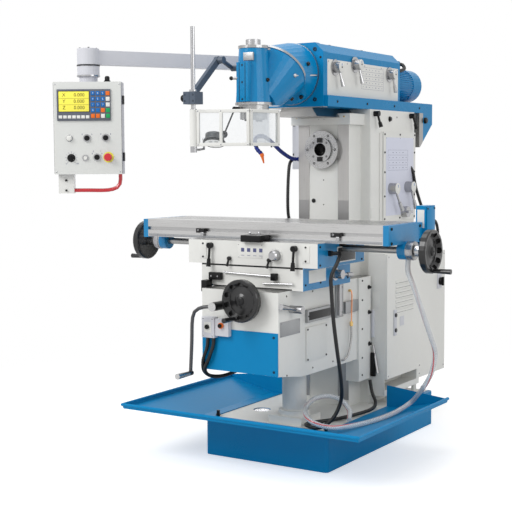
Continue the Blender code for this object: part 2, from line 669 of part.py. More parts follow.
def wheel(name, centre, out, radius, carrier_parent, handle_angle, hub_back):
    """Handwheel: deep dished disc with finger hollows, a hub and a turning handle."""
    centre, out = Vector(centre), Vector(out).normalized()
    carrier = pivot(name + "_axis", centre, carrier_parent)
    turn = aim(out)
    disc = turned([(0, 0.010), (0.022, 0.010), (0.034, 0.004), (radius - 0.034, -0.002),
                   (radius - 0.017, 0.017), (radius - 0.004, 0.017), (radius, 0.012),
                   (radius, -0.012), (radius - 0.005, -0.017), (radius - 0.014, -0.017),
                   (0.030, -0.012), (0.0, -0.012)], centre, out, 30)
    hub = rod(centre - out * hub_back, centre, 0.027, sides=20)
    hollows = []
    for i in range(WHEEL_HOLLOWS):
        angle = handle_angle + math.tau * (i + 0.5) / WHEEL_HOLLOWS
        spot = centre + (turn @ Vector((math.cos(angle), math.sin(angle), 0))) * (radius - 0.026)
        hollows.append(rod(spot + out * 0.001, spot + out * 0.030, 0.014, sides=10))
    reach = turn @ Vector((math.cos(handle_angle), math.sin(handle_angle), 0))
    foot = centre + reach * (radius - 0.012)
    handle = rod(foot, foot + out * 0.100, 0.009, 0.012, 12)
    return piece(name, [disc, hub, handle], hollows, carrier, BLACK, 0.35)


def make_knee_controls(knee):
    """Cross-feed handwheel and the long lifting crank on the knee's front."""
    x, z = CROSS_WHEEL
    face = KNEE_FRONT - GAP
    wheel("cross_handwheel", (x, KNEE_FRONT - CROSS_WHEEL_OUT, z), (0, -1, 0), WHEEL_RADIUS, knee,
          math.radians(250), CROSS_WHEEL_OUT - GAP)
    x, z = CRANK_HUB
    carrier = pivot("lift_crank_axis", (x, KNEE_FRONT, z), knee)
    out = KNEE_FRONT - CRANK_OUT
    hub = rod((x, face, z), (x, out - 0.018, z), 0.021, sides=20)
    end_x, end_z = x + CRANK_REACH[0], z + CRANK_REACH[1]
    route = smooth_route([(x, out, z), (x - 0.058, out, z - 0.006), (x - 0.106, out, z - 0.026),
                          (x - 0.124, out, z - 0.070), (x - 0.129, out, z - 0.180),
                          (end_x, out, end_z)], 0.030)
    tube = as_mesh(pipe(route, CRANK_RADIUS))
    grip = rod((end_x, out + 0.012, end_z), (end_x, out - 0.105, end_z), 0.011, 0.014, 16)
    piece("lift_crank", [hub, tube, grip], (), carrier, BLACK, 0.4)


def make_saddle(knee):
    """Cross slide and table guide in one body, with clamp levers and feed controls."""
    carrier = pivot("saddle_slide_axis", (0, 0, CROSS_LOW), knee)
    cross = box((-CROSS_HALF_X, SADDLE_FRONT, CROSS_LOW),
                (CROSS_HALF_X, SADDLE_REAR, SADDLE_LOW + 0.001))
    beam = box((-SADDLE_HALF_X, SADDLE_FRONT, SADDLE_LOW),
               (SADDLE_HALF_X, SADDLE_REAR, SADDLE_TOP))
    channel = box((-SADDLE_HALF_X - 0.01, TABLE_CENTRE_Y - 0.035, SCREW_Z - 0.030),
                  (SADDLE_HALF_X + 0.01, TABLE_CENTRE_Y + 0.035, SADDLE_TOP + 0.01))
    nut = box((-0.05, TABLE_CENTRE_Y - 0.036, SCREW_Z - 0.031),
              (0.05, TABLE_CENTRE_Y + 0.036, SADDLE_TOP - 0.001))
    body = combine(beam, [cross], "UNION")
    combine(body, [channel], "DIFFERENCE")
    combine(body, [nut], "UNION")
    thread = rod((-0.06, TABLE_CENTRE_Y, SCREW_Z), (0.06, TABLE_CENTRE_Y, SCREW_Z),
                 SCREW_RADIUS + RUN)
    exit_y, exit_z = SADDLE_CABLE[0][1:]
    gland = rod((SADDLE_HALF_X - 0.01, exit_y, exit_z), (SADDLE_HALF_X + 0.018, exit_y, exit_z),
                0.013, sides=16)
    wall_in = KNEE_WALL + 0.003
    hollow = box((-CROSS_HALF_X + wall_in, SADDLE_FRONT + wall_in, CROSS_LOW - 0.01),
                 (CROSS_HALF_X - wall_in, SADDLE_REAR - wall_in, SADDLE_LOW + 0.020))
    piece("saddle", [body, gland], [thread, hollow], carrier)
    for name, x in (("table_clamp_left", -0.228), ("table_clamp_right", 0.243)):
        hub_lever(name, (x, SADDLE_FRONT, SADDLE_TOP - 0.026), (0, -1, 0),
                  (x, SADDLE_FRONT - 0.026, SADDLE_TOP - 0.128), 0.014, 0.024, 0.006, carrier,
                  BLACK, 0.0)
    place = Vector((0.139, SADDLE_FRONT, SADDLE_LOW + 0.052))
    knob_axis = pivot("feed_knob_axis", place, carrier)
    knob = turned([(0, 0.038), (0.018, 0.038), (0.024, 0.030), (0.026, GAP), (0, GAP)],
                  place, (0, -1, 0), 24)
    piece("feed_knob", [knob], (), knob_axis, STEEL, 0.3, 1.0)
    hub_lever("feed_lever", (CROSS_HALF_X, -0.411, 0.924), (1, 0, 0),
              (CROSS_HALF_X + 0.045, -0.325, 0.915), 0.022, 0.045, 0.007, carrier)
    return carrier


def make_table(saddle):
    """Slotted table, its end brackets, lead screw, handwheels and feed box."""
    carrier = pivot("table_slide_axis", (0, TABLE_CENTRE_Y, TABLE_LOW), saddle)
    front, rear = TABLE_CENTRE_Y - TABLE_HALF_Y, TABLE_CENTRE_Y + TABLE_HALF_Y
    slab = box((-TABLE_HALF_X, front, TABLE_LOW), (TABLE_HALF_X, rear, TABLE_TOP))
    slots = []
    for y in (TABLE_CENTRE_Y - SLOT_PITCH, TABLE_CENTRE_Y, TABLE_CENTRE_Y + SLOT_PITCH):
        half, foot = SLOT_WIDTH / 2, SLOT_FOOT / 2
        deep = TABLE_TOP - SLOT_DEPTH
        slots.append(plate([(y - foot, deep), (y + foot, deep), (y + foot, deep + 0.013),
                            (y + half, deep + 0.013), (y + half, TABLE_TOP + 0.01),
                            (y - half, TABLE_TOP + 0.01), (y - half, deep + 0.013),
                            (y - foot, deep + 0.013)], -TABLE_HALF_X - 0.01, TABLE_HALF_X + 0.01))
    stop_groove = box((-TABLE_HALF_X - 0.01, front - 0.01, TABLE_LOW + 0.034),
                      (TABLE_HALF_X + 0.01, front + 0.012, TABLE_LOW + 0.050))
    under = box((-TABLE_HALF_X - 0.01, TABLE_CENTRE_Y - 0.05, TABLE_LOW - 0.01),
                (TABLE_HALF_X + 0.01, TABLE_CENTRE_Y + 0.05, TABLE_LOW + 0.022))
    piece("table", [slab], [*slots, stop_groove, under], carrier, STEEL, 0.35, 1.0)
    out = TABLE_HALF_X + GAP
    for name, side in (("table_bracket_left", -1), ("table_bracket_right", 1)):
        inner, outer = sorted((side * out, side * (out + 0.028)))
        block = box((inner, front, TABLE_LOW - 0.004), (outer, rear, TABLE_TOP - 0.001))
        boss = rod((side * out, TABLE_CENTRE_Y, SCREW_Z),
                   (side * (out + 0.075), TABLE_CENTRE_Y, SCREW_Z), 0.042, sides=28)
        bore = rod((side * (out - 0.01), TABLE_CENTRE_Y, SCREW_Z),
                   (side * (out + 0.09), TABLE_CENTRE_Y, SCREW_Z), SCREW_RADIUS + RUN)
        piece(name, [block, boss], [bore], carrier, BLUE)
    reach = TABLE_HALF_X + 0.078
    screw = rod((-reach, TABLE_CENTRE_Y, SCREW_Z), (reach, TABLE_CENTRE_Y, SCREW_Z), SCREW_RADIUS,
                sides=20)
    piece("table_screw", [screw], (), carrier, STEEL, 0.35, 1.0)
    for name, side, angle in (("handwheel_left", -1, math.pi), ("handwheel_right", 1, 0)):
        wheel(name, (side * (TABLE_HALF_X + WHEEL_OUT), TABLE_CENTRE_Y, SCREW_Z), (side, 0, 0),
              WHEEL_RADIUS, carrier, angle, WHEEL_OUT - 0.078 - 2 * GAP)
    gear_low = TABLE_TOP - 0.075
    gearbox = box((TABLE_HALF_X - 0.005, rear + GAP, gear_low),
                  (TABLE_HALF_X + 0.045, rear + 0.105, TABLE_TOP + 0.075))
    motor_x, motor_y = TABLE_HALF_X + 0.020, rear + 0.052
    motor = rod((motor_x, motor_y, gear_low + 0.02), (motor_x, motor_y, gear_low - 0.075), 0.040,
                sides=20)
    piece("feed_gearbox", [gearbox, motor], (), carrier, BLUE)
    return carrier


# ---------------------------------------------------------------- ram and head

def make_ram():
    """Ram with its dovetail, gear housing, front flange, rear drive motor and lever set."""
    carrier = pivot("ram_slide_axis", (0, 0, RAM_LOW))
    top = RAM_LOW + RAM_HEIGHT
    rear_flange = FLANGE_FRONT + FLANGE_THICK
    ledge = box((-LEDGE_HALF_X, FLANGE_FRONT + 0.01, RAM_LOW),
                (LEDGE_HALF_X, LEDGE_REAR, RAM_LOW + LEDGE_HEIGHT))
    body = plate(chamfered(RAM_HALF_X, RAM_LOW + 0.01, top, RAM_CHAMFER), rear_flange - 0.01,
                 RAM_REAR, "Y")
    flange = plate(chamfered(RAM_HALF_X + 0.006, RAM_LOW - 0.004, top + 0.002, RAM_CHAMFER),
                   FLANGE_FRONT, rear_flange, "Y")
    tongue = dovetail(FLANGE_FRONT + 0.04, LEDGE_REAR - 0.16, 0)
    tail = plate([(LEDGE_REAR - 0.175, RAM_LOW + 0.01), (LEDGE_REAR, RAM_LOW + 0.01),
                  (LEDGE_REAR, RAM_LOW - 0.061), (LEDGE_REAR - 0.165, RAM_LOW - 0.193),
                  (LEDGE_REAR - 0.175, RAM_LOW - 0.193)], 0.02, LEDGE_HALF_X)
    hollow = box((-RAM_HALF_X + RAM_WALL, rear_flange + RAM_WALL, RAM_LOW + 0.03),
                 (RAM_HALF_X - RAM_WALL, RAM_REAR + 0.01, top - RAM_WALL))
    piece("ram", [body, ledge, flange, tongue, tail], [hollow], carrier, BLUE)
    centre = (0.035, RAM_LOW + 0.161)
    start = RAM_REAR + GAP
    mount = rod((centre[0], start, centre[1]), (centre[0], start + 0.02, centre[1]), 0.105, sides=28)
    drum = rod((centre[0], start + 0.01, centre[1]), (centre[0], start + 0.30, centre[1]), 0.088,
               sides=28)
    cowl = rod((centre[0], start + 0.27, centre[1]), (centre[0], start + 0.375, centre[1]), 0.0926,
               sides=28)
    shaft = rod((centre[0], start + 0.005, centre[1]), (centre[0], start - 0.06, centre[1]), 0.019,
                sides=16)
    piece("ram_motor", [drum, mount, cowl, shaft], (), carrier, BLUE)
    for name, y, z, turn in (("ram_lever_front", -0.205, 1.925, 8),
                             ("ram_lever_middle", 0.005, 1.952, 4),
                             ("ram_lever_rear", 0.400, 1.925, -2)):
        swing = math.radians(turn)
        hub_lever(name, (RAM_HALF_X, y, z), (1, 0, 0),
                  (RAM_HALF_X + 0.045, y + 0.095 * math.sin(swing), z - 0.095 * math.cos(swing)),
                  0.026, 0.042, 0.0055, carrier)
    return carrier


def loft(rings):
    """A closed solid through rings of equal point counts, capped flat at both ends."""
    work = bmesh.new()
    rows = [[work.verts.new(point) for point in one] for one in rings]
    count = len(rows[0])
    for first, second in zip(rows, rows[1:]):
        for i in range(count):
            work.faces.new((first[i], first[(i + 1) % count], second[(i + 1) % count], second[i]))
    work.faces.new(rows[0])
    work.faces.new(rows[-1])
    bmesh.ops.recalc_face_normals(work, faces=work.faces)
    mesh = bpy.data.meshes.new("loft")
    work.to_mesh(mesh)
    work.free()
    obj = bpy.data.objects.new("loft", mesh)
    bpy.context.scene.collection.objects.link(obj)
    return obj


def circle(centre, normal, radius, count=32):
    """Points of a circle that start at +X, so that tilted circles keep in step."""
    across = Vector((1, 0, 0))
    up = Vector(normal).cross(across).normalized()
    return [Vector(centre) + radius * (across * math.cos(math.tau * i / count)
                                       + up * math.sin(math.tau * i / count)) for i in range(count)]


def make_head(ram):
    """Swivel housing, spindle head on the 45 degree face, spindle and brake lever."""
    swivel = pivot("head_tilt_axis", (0, FLANGE_FRONT, HEAD_Z), ram)
    back = circle((0, FLANGE_FRONT - GAP, HEAD_Z), (0, -1, 0), RING_RADIUS)
    neck = circle((0, FLANGE_FRONT - 0.045, HEAD_Z), (0, -1, 0), RING_RADIUS)
    face = circle(RING_CENTRE - SWIVEL_AXIS * GAP, SWIVEL_AXIS, SWIVEL_RADIUS)
    gear_room = rod((0, FLANGE_FRONT + 0.01, HEAD_Z), (0, SWIVEL_Y + 0.085, HEAD_Z),
                    RING_RADIUS - 2 * RAM_WALL, 0.05, 28)
    piece("swivel_housing", [loft([back, neck, face])], [gear_room], swivel, BLUE)
    head = pivot("head_swivel_axis", RING_CENTRE, swivel)
    low, high = HEAD_Z - QUILL_DROP, HEAD_Z + QUILL_TOP
    axis = (0, SPINDLE_Y)
    collar, top_collar = QUILL_RADIUS + 0.0035, QUILL_TOP_RADIUS + 0.0035
    cap = high - QUILL_CAP
    sleeve = turned([(0, high), (0.035, high), (0.035, cap), (top_collar, cap - 0.001),
                     (top_collar, cap - 0.014), (QUILL_TOP_RADIUS, cap - 0.015),
                     (QUILL_RADIUS, low + 0.013), (collar, low + 0.012), (collar, low),
                     (NECK_RADIUS, low - 0.001), (NECK_RADIUS, low - 0.032), (0, low - 0.032)],
                    (*axis, 0), (0, 0, 1), 32)
    cone = rod(RING_CENTRE, RING_CENTRE + SWIVEL_AXIS * 0.20, SWIVEL_RADIUS - 0.003, 0.088, 32)
    trim = box((-0.3, -1.2, low - 0.2), (0.3, -0.3, low))
    combine(cone, [trim], "DIFFERENCE")
    behind_ring = rod(RING_CENTRE, RING_CENTRE - SWIVEL_AXIS * 0.4, 0.4, sides=16)
    fairing = box((-FAIRING_HALF_X, SPINDLE_Y - QUILL_RADIUS - 0.012, low + 0.014),
                  (FAIRING_HALF_X, SPINDLE_Y, high - 0.108))
    arm_foot = Vector(KNUCKLE) + Vector((0, 0.091, -0.033))
    bracket = rod((-QUILL_RADIUS + 0.02, arm_foot.y, arm_foot.z), arm_foot - Vector((0.003, 0, 0)),
                  0.014, sides=16)
    strut = as_mesh(pipe([arm_foot, Vector(KNUCKLE)], 0.011))
    knuckle = rod(Vector(KNUCKLE) - Vector((0.014, 0, 0)), Vector(KNUCKLE) + Vector((0.014, 0, 0)),
                  0.017, sides=16)
    bore = rod((*axis, low - 0.05), (*axis, low + 0.12), NOSE_RADIUS - 0.012 + RUN, sides=32)
    piece("spindle_head", [sleeve, cone, fairing, bracket, strut, knuckle],
          [behind_ring, bore], head, BLUE)
    spin = pivot("vertical_spindle_axis", (*axis, low), head)
    shank = NOSE_RADIUS - 0.012
    nose_top = low - 0.032 - GAP
    nose = turned([(0, low + 0.11), (shank, low + 0.11), (shank, nose_top), (NOSE_RADIUS, nose_top),
                   (NOSE_RADIUS, nose_top - 0.034), (0, nose_top - 0.034)], (*axis, 0), (0, 0, 1), 32)
    keys = [box((-0.0127, SPINDLE_Y + side - 0.010, nose_top - 0.042),
                (0.0127, SPINDLE_Y + side + 0.010, nose_top - 0.030)) for side in (-0.0485, 0.0485)]
    taper = rod((*axis, nose_top - 0.06), (*axis, nose_top + 0.07), SPINDLE_BORE + 0.002, 0.0198, 24)
    piece("vertical_spindle", [nose, *keys], [taper], spin, STEEL, 0.3, 1.0)
    start = Vector((-0.040, SPINDLE_Y - QUILL_RADIUS - 0.006, low - 0.018))
    lever_axis = pivot("head_lever_axis", start, head)
    reach = abs(start.x) - HEAD_BOSS_RADIUS
    seat_y = SPINDLE_Y - math.sqrt(NECK_RADIUS ** 2 - reach ** 2) - 2 * GAP
    boss = rod((start.x, seat_y, start.z), start + Vector((0, -0.016, 0)), HEAD_BOSS_RADIUS, sides=16)
    end = start + Vector((-0.040, -0.040, -0.118))
    arm = rod(start + Vector((0, -0.010, 0)), end, 0.004, sides=10)
    knob = ball(end, 0.017)
    piece("head_lever", [boss, arm, knob], (), lever_axis, BLACK, 0.3)
    return head


def make_guard(head):
    """Chip guard: an arm on the head's knuckle, a rod in a clamp, framed panes and a work lamp."""
    lift = pivot("guard_arm_axis", KNUCKLE, head)
    side = KNUCKLE[0] - 0.014 - GAP
    eye = rod((side, *KNUCKLE[1:]), (side - 0.018, *KNUCKLE[1:]), 0.019, sides=16)
    arm = plate([(KNUCKLE[1] + 0.012, KNUCKLE[2] - 0.010), (KNUCKLE[1] - 0.012, KNUCKLE[2] + 0.010),
                 (ROD_PLACE[1] + 0.020, CLAMP_Z + 0.024), (ROD_PLACE[1] + 0.028, CLAMP_Z - 0.008)],
                side - 0.018, side)
    clamp = box((ROD_PLACE[0] - 0.034, ROD_PLACE[1] - 0.030, CLAMP_Z - 0.028),
                (ROD_PLACE[0] + 0.030, ROD_PLACE[1] + 0.034, CLAMP_Z + 0.028))
    hole = rod((*ROD_PLACE, CLAMP_Z - 0.1), (*ROD_PLACE, CLAMP_Z + 0.1), ROD_RADIUS + RUN)
    piece("guard_arm", [clamp, arm, eye], [hole], lift, DARK)
    slide = pivot("guard_rod_axis", (*ROD_PLACE, ROD_LOW), lift)
    bar = rod((*ROD_PLACE, ROD_LOW - 0.01), (*ROD_PLACE, ROD_HIGH), ROD_RADIUS, sides=20)
    foot = rod((*ROD_PLACE, ROD_LOW - 0.026), (*ROD_PLACE, ROD_LOW), 0.015, sides=20)
    lamp, stay_z = Vector(LAMP_PLACE), ROD_LOW - 0.013
    stay_x = lamp.x - LAMP_RADIUS - STAY_RADIUS - EASE
    stay = as_mesh(pipe([Vector((*ROD_PLACE, stay_z)), Vector((stay_x, ROD_PLACE[1] + 0.050, stay_z)),
                         Vector((stay_x, lamp.y, stay_z + 0.004)), Vector((stay_x, lamp.y, lamp.z))],
                        STAY_RADIUS))
    eye_end = ball((stay_x, lamp.y, lamp.z), STAY_RADIUS + 0.002, 12)
    piece("guard_rod", [bar, foot, stay, eye_end], (), slide, STEEL, 0.2, 1.0)
    swing = pivot("guard_screen_axis", (*ROD_PLACE, ROD_LOW), slide)
    piece("guard_screen", guard_frame(), guard_cuts(), swing, WHITE)
    make_lamp(slide, stay_x)


def make_lamp(carrier, stay_x):
    """Round work lamp on a short pin, which turns about that pin."""
    centre, facing = Vector(LAMP_PLACE), Vector(LAMP_FACING).normalized()
    tilt = pivot("work_lamp_axis", centre, carrier)
    shell = rod(centre - facing * 0.026, centre + facing * 0.022, LAMP_RADIUS * 0.76, LAMP_RADIUS, 28)
    pin_end = stay_x + STAY_RADIUS + 0.002 + GAP
    pin = rod((pin_end, centre.y, centre.z), centre, 0.006, sides=12)
    piece("work_lamp", [shell, pin], (), tilt, BLACK)


def wall(a, b, low, high, thick):
    """A thin upright wall between two places in plan."""
    a, b = Vector(a), Vector(b)
    side = Vector((a.y - b.y, b.x - a.x)).normalized() * thick / 2
    return plate([tuple(a + side), tuple(a - side), tuple(b - side), tuple(b + side)], low, high, "Z")


def guard_frame():
    """Hinge sleeve on the rod and two framed walls that meet at a corner post."""
    start = (ROD_PLACE[0] + 0.012, ROD_PLACE[1] + 0.004)
    high = SCREEN_LOW + SCREEN_HEIGHT
    sleeve = rod((*ROD_PLACE, SCREEN_LOW), (*ROD_PLACE, high), 0.0165, sides=20)
    front = wall(start, SCREEN_CORNER, SCREEN_LOW, high, SCREEN_THICK)
    post = rod((*SCREEN_CORNER, SCREEN_LOW), (*SCREEN_CORNER, high), SCREEN_THICK / 2 + 0.001,
               sides=12)
    wing = wall(SCREEN_CORNER, SCREEN_END, SCREEN_LOW, high, SCREEN_THICK)
    return [sleeve, front, post, wing]


def guard_cuts():
    """The rod's hole, and relief on both faces that leaves thin panes in a frame."""
    hole = rod((*ROD_PLACE, ROD_LOW - 0.1), (*ROD_PLACE, ROD_HIGH), ROD_RADIUS + RUN)
    low, high = SCREEN_LOW + SCREEN_FRAME, SCREEN_LOW + SCREEN_HEIGHT - SCREEN_FRAME
    cuts = [hole]
    start = (ROD_PLACE[0] + 0.012, ROD_PLACE[1] + 0.004)
    for a, b in ((start, SCREEN_CORNER), (SCREEN_CORNER, SCREEN_END)):
        a, b = Vector(a), Vector(b)
        along = (b - a).normalized()
        offset = Vector((-along.y, along.x)) * (SCREEN_THICK / 2 + 0.0015)
        inner, outer = a + along * 0.022, b - along * 0.016
        for sign in (-1, 1):
            cuts.append(wall(inner + offset * sign, outer + offset * sign, low, high, SCREEN_THICK))
    return cuts


# ---------------------------------------------------------------- pendant

def pendant_frame():
    """Directions of the pendant's face (right, up, out) and its centre."""
    yaw = math.radians(PENDANT_YAW)
    right = Vector((math.cos(yaw), math.sin(yaw), 0))
    out = Vector((math.sin(yaw), -math.cos(yaw), 0))
    centre = Vector((*PENDANT_PLACE, PENDANT_TOP - PENDANT_HEIGHT / 2))
    return right, Vector((0, 0, 1)), out, centre


def on_face(u, v, w=0.0):
    """A place on the pendant's face: right, up from its lower edge, out of the face."""
    right, up, out, centre = pendant_frame()
    return centre + right * u + up * (v - PENDANT_HEIGHT / 2) + out * (PENDANT_DEPTH / 2 + w)


def make_pendant_arm():
    """Post on the column and the swinging arm with its elbow over the control box."""
    x, y = POST_PLACE
    side = -BODY_HALF_X - GAP
    post = box((x - 0.035, y - 0.035, 1.42), (x + 0.035, y + 0.035, ARM_LOW - 0.022))
    bracket = box((x + 0.03, y - 0.030, 1.46), (side, y + 0.030, 1.70))
    stub = rod((x, y, ARM_LOW - 0.03), (x, y, ARM_LOW - GAP), 0.045, sides=24)
    piece("pendant_post", [post, bracket, stub])
    swing = pivot("pendant_arm_axis", (x, y, ARM_LOW))
    px, py = PENDANT_PLACE
    hub = rod((x, y, ARM_LOW), (x, y, ARM_LOW + ARM_HEIGHT), 0.055, sides=24)
    beam = wall((x, y), (px, py), ARM_LOW, ARM_LOW + ARM_HEIGHT, 0.060)
    elbow = rod((px, py, PENDANT_TOP + PENDANT_COLLAR), (px, py, ARM_LOW + ARM_HEIGHT + 0.004),
                0.055, sides=28)
    piece("pendant_arm", [beam, hub, elbow], (), swing)
    return swing


def make_pendant(swing):
    """Hollow control box with its screen bezel, and the bent handle under it."""
    turn = pivot("pendant_axis", (*PENDANT_PLACE, PENDANT_TOP), swing)
    right, up, out, centre = pendant_frame()
    half, lower, sheet = PENDANT_WIDTH / 2, PENDANT_TOP - PENDANT_HEIGHT, PENDANT_SHEET
    shell = wall((centre - right * half).xy, (centre + right * half).xy, lower, PENDANT_TOP,
                 PENDANT_DEPTH)
    collar = rod((*PENDANT_PLACE, PENDANT_TOP - 0.001),
                 (*PENDANT_PLACE, PENDANT_TOP + PENDANT_COLLAR - GAP), 0.045, sides=28)
    inner = right * (half - sheet)
    hollow = wall((centre - inner).xy, (centre + inner).xy, lower + sheet, PENDANT_TOP - sheet,
                  PENDANT_DEPTH - 2 * sheet)
    gland_hole = rod((*PENDANT_PLACE, lower - 0.02), (*PENDANT_PLACE, lower + 0.02), 0.02)
    body = combine(shell, [hollow, gland_hole], "DIFFERENCE")
    holes = [rod(on_face(u, v, -0.03), on_face(u, v, 0.01), radius, sides=16)
             for u, v, radius in CONTROL_PLACES.values() if radius]
    piece("pendant_box", [body, collar], holes, turn)
    bezel_low, bezel_high = on_face(-0.148, 0.262, GAP), on_face(0.115, 0.415, GAP + 0.008)
    flat = wall((bezel_low + out * 0.004).xy, (bezel_high - out * 0.004).xy, bezel_low.z,
                bezel_high.z, 0.008)
    piece("display_unit", [flat], (), turn, DARK, 0.3)
    foot = centre - right * (half - 0.050) - up * (PENDANT_HEIGHT / 2)
    hanger = wall((foot - right * 0.038).xy, (foot + right * 0.038).xy, lower - 0.095, lower - GAP,
                  0.050)
    bend = ((0.03, 0.080), (0.10, 0.080), (0.20, 0.080), (0.250, 0.066), (0.266, 0.038),
            (0.266, 0.020), (0.266, GAP))
    rail = as_mesh(pipe(smooth_route([foot + right * u - up * drop for u, drop in bend], 0.025),
                        0.0095))
    piece("pendant_handle", [hanger, rail], (), turn, RED)
    make_controls(turn, right)


def make_controls(turn, right):
    """Stop button, push button, three selectors and a speed dial on the pendant's face."""
    caps = {"emergency_stop": (0.020, 0.034, RED), "push_button": (0.010, 0.014, BLACK)}
    for name, (u, v, hole) in CONTROL_PLACES.items():
        axis = pivot(name + "_axis", on_face(u, v), turn)
        if name in caps:
            radius, proud, colour = caps[name]
            stem = rod(on_face(u, v, -0.012), on_face(u, v, proud - 0.008), hole - RUN, sides=16)
            cap = rod(on_face(u, v, proud - 0.010), on_face(u, v, proud), radius, radius * 0.86, 24)
            piece(name, [stem, cap], (), axis, colour)
        else:
            radius, proud = 0.013, 0.022
            knob = rod(on_face(u, v, GAP), on_face(u, v, proud * 0.6), radius, sides=20)
            middle = on_face(u, v, proud * 0.5)
            bar = wall((middle - right * 0.004).xy, (middle + right * 0.004).xy,
                       middle.z - radius * 0.95, middle.z + radius * 0.95, 0.012)
            piece(name, [knob, bar], (), axis, BLACK)


# ---------------------------------------------------------------- cords and coolant hose

def make_hoses():
    """Free cable, free drain hose, and the jointed coolant spout."""
    hose = pipe(smooth_route(DRAIN_HOSE, 0.050), DRAIN_HOSE_RADIUS)
    piece("drain_hose", [hose], (), None, (0.8, 0.82, 0.85, 1), 0.3)
    cable = pipe(smooth_route(SADDLE_CABLE, 0.036), SADDLE_CABLE_RADIUS)
    piece("saddle_cable", [cable], (), None, BLACK, 0.5)
    spout = as_mesh(pipe(smooth_route(COOLANT_SPOUT, 0.030), SPOUT_RADIUS))
    tip = Vector(COOLANT_SPOUT[-1])
    nozzle = rod(tip, tip + Vector((0.012, 0, -0.045)), SPOUT_RADIUS, 0.003, 12)
    root = Vector(COOLANT_SPOUT[0])
    base = rod((-WAY_HALF_X - GAP, root.y, root.z), (-WAY_HALF_X - 0.02, root.y, root.z), 0.014,
               sides=12)
    piece("coolant_spout", [spout, base, nozzle], (), None, (0.02, 0.06, 0.35, 1), 0.4)


make_base()
make_tray()
make_column()
make_column_covers()
make_lower_spindle()
make_column_levers()
make_cabinet()
make_lift_screw()
KNEE = make_knee()
make_knee_controls(KNEE)
SADDLE = make_saddle(KNEE)
make_table(SADDLE)
RAM = make_ram()
HEAD = make_head(RAM)
make_guard(HEAD)
make_pendant(make_pendant_arm())
make_hoses()
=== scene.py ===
import math
from contextlib import contextmanager
from itertools import product

import bmesh
import bpy
from bpy.props import FloatProperty, FloatVectorProperty, IntProperty, PointerProperty
from mathutils import Matrix, Vector


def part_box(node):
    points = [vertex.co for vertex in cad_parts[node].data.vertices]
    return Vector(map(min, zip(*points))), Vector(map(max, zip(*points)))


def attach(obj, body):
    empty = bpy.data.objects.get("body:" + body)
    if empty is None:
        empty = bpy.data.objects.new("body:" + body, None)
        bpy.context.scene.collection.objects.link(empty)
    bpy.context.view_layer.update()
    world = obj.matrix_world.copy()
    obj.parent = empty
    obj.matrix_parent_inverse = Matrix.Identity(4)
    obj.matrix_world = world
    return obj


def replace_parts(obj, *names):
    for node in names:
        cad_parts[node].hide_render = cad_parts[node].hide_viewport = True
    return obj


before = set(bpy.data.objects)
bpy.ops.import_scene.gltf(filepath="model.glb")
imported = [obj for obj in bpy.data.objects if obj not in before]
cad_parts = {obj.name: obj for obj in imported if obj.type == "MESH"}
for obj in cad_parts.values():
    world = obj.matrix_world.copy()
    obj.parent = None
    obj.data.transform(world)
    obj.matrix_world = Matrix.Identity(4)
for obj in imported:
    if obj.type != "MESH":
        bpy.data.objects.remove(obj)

bl_info = {
    "name": "Universal knee milling machine",
    "version": (1, 0, 0),
    "blender": (4, 5, 0),
    "location": "3D View > Sidebar > Mill",
    "description": "Finishes, fittings, cords and studio for a knee milling machine",
    "category": "Object",
}

X, Y, Z = Vector((1, 0, 0)), Vector((0, 1, 0)), Vector((0, 0, 1))
FINISHES = {}

CAST_EDGE, PIECE_EDGE = math.radians(32), math.radians(38)  # steeper edges stay sharp
PAINT_SHINE, PLASTIC_SHINE = 0.14, 0.24
NOSE_Z = 1.523  # height of the level spindle
HEAD_Y = -0.681  # depth of the upright spindle
SCREW_Y, SCREW_Z = -0.4725, 1.0566  # the table's screw
CROSS_X, CROSS_Z = 0.043, 0.826  # the cross-feed wheel
PENDANT_X, PENDANT_Y = -0.853, -0.863
PENDANT_TURN = math.radians(32.8)
PENDANT_RIGHT = Vector((math.cos(PENDANT_TURN), math.sin(PENDANT_TURN), 0))
PENDANT_OUT = Vector((math.sin(PENDANT_TURN), -math.cos(PENDANT_TURN), 0))
PENDANT_MIDDLE = Vector((PENDANT_X, PENDANT_Y, 1.633))


# ---- settings

def tone(red, green, blue):
    """A colour given as display values from 0 to 255, turned into scene values."""
    return tuple((c / 255) ** 2.2 for c in (red, green, blue))


def colour_setting(name, description, *rgb):
    """A colour property with its default."""
    return FloatVectorProperty(name=name, description=description, subtype="COLOR", size=3,
                               min=0, max=1, default=tone(*rgb))


def length_setting(name, description, default):
    """A length property in metres with its default."""
    return FloatProperty(name=name, description=description, default=default, unit="LENGTH",
                         subtype="DISTANCE", min=0.0001)


class MillColours(bpy.types.PropertyGroup):
    """Colours of the paints, plastics and printed panels."""
    blue: colour_setting("Blue enamel", "Base, tray, ram, head and covers", 0, 128, 184)
    white: colour_setting("White enamel", "Column, knee and saddle", 226, 226, 222)
    grey: colour_setting("Pale grey", "Pendant arm and side sheets", 205, 206, 212)
    slate: colour_setting("Slate grey", "Guard arm and clamp", 84, 93, 106)
    lilac: colour_setting("Printed panel", "Faces behind the speed levers", 214, 217, 232)
    black: colour_setting("Black", "Plastic, rubber and blackened steel", 13, 13, 15)
    red: colour_setting("Red", "Handle rail and stop button", 205, 28, 42)
    yellow: colour_setting("Yellow", "Screen and stop button ring", 238, 226, 84)
    key_blue: colour_setting("Blue keys", "Number keys on the display", 30, 105, 178)
    orange: colour_setting("Orange", "Function keys and coolant nozzle", 232, 112, 44)
    green: colour_setting("Green", "Enter key", 34, 160, 90)
    hose_blue: colour_setting("Coolant hose", "Jointed coolant hose", 26, 44, 120)
    ink: colour_setting("Ink", "Ruled tables and scales", 88, 92, 128)


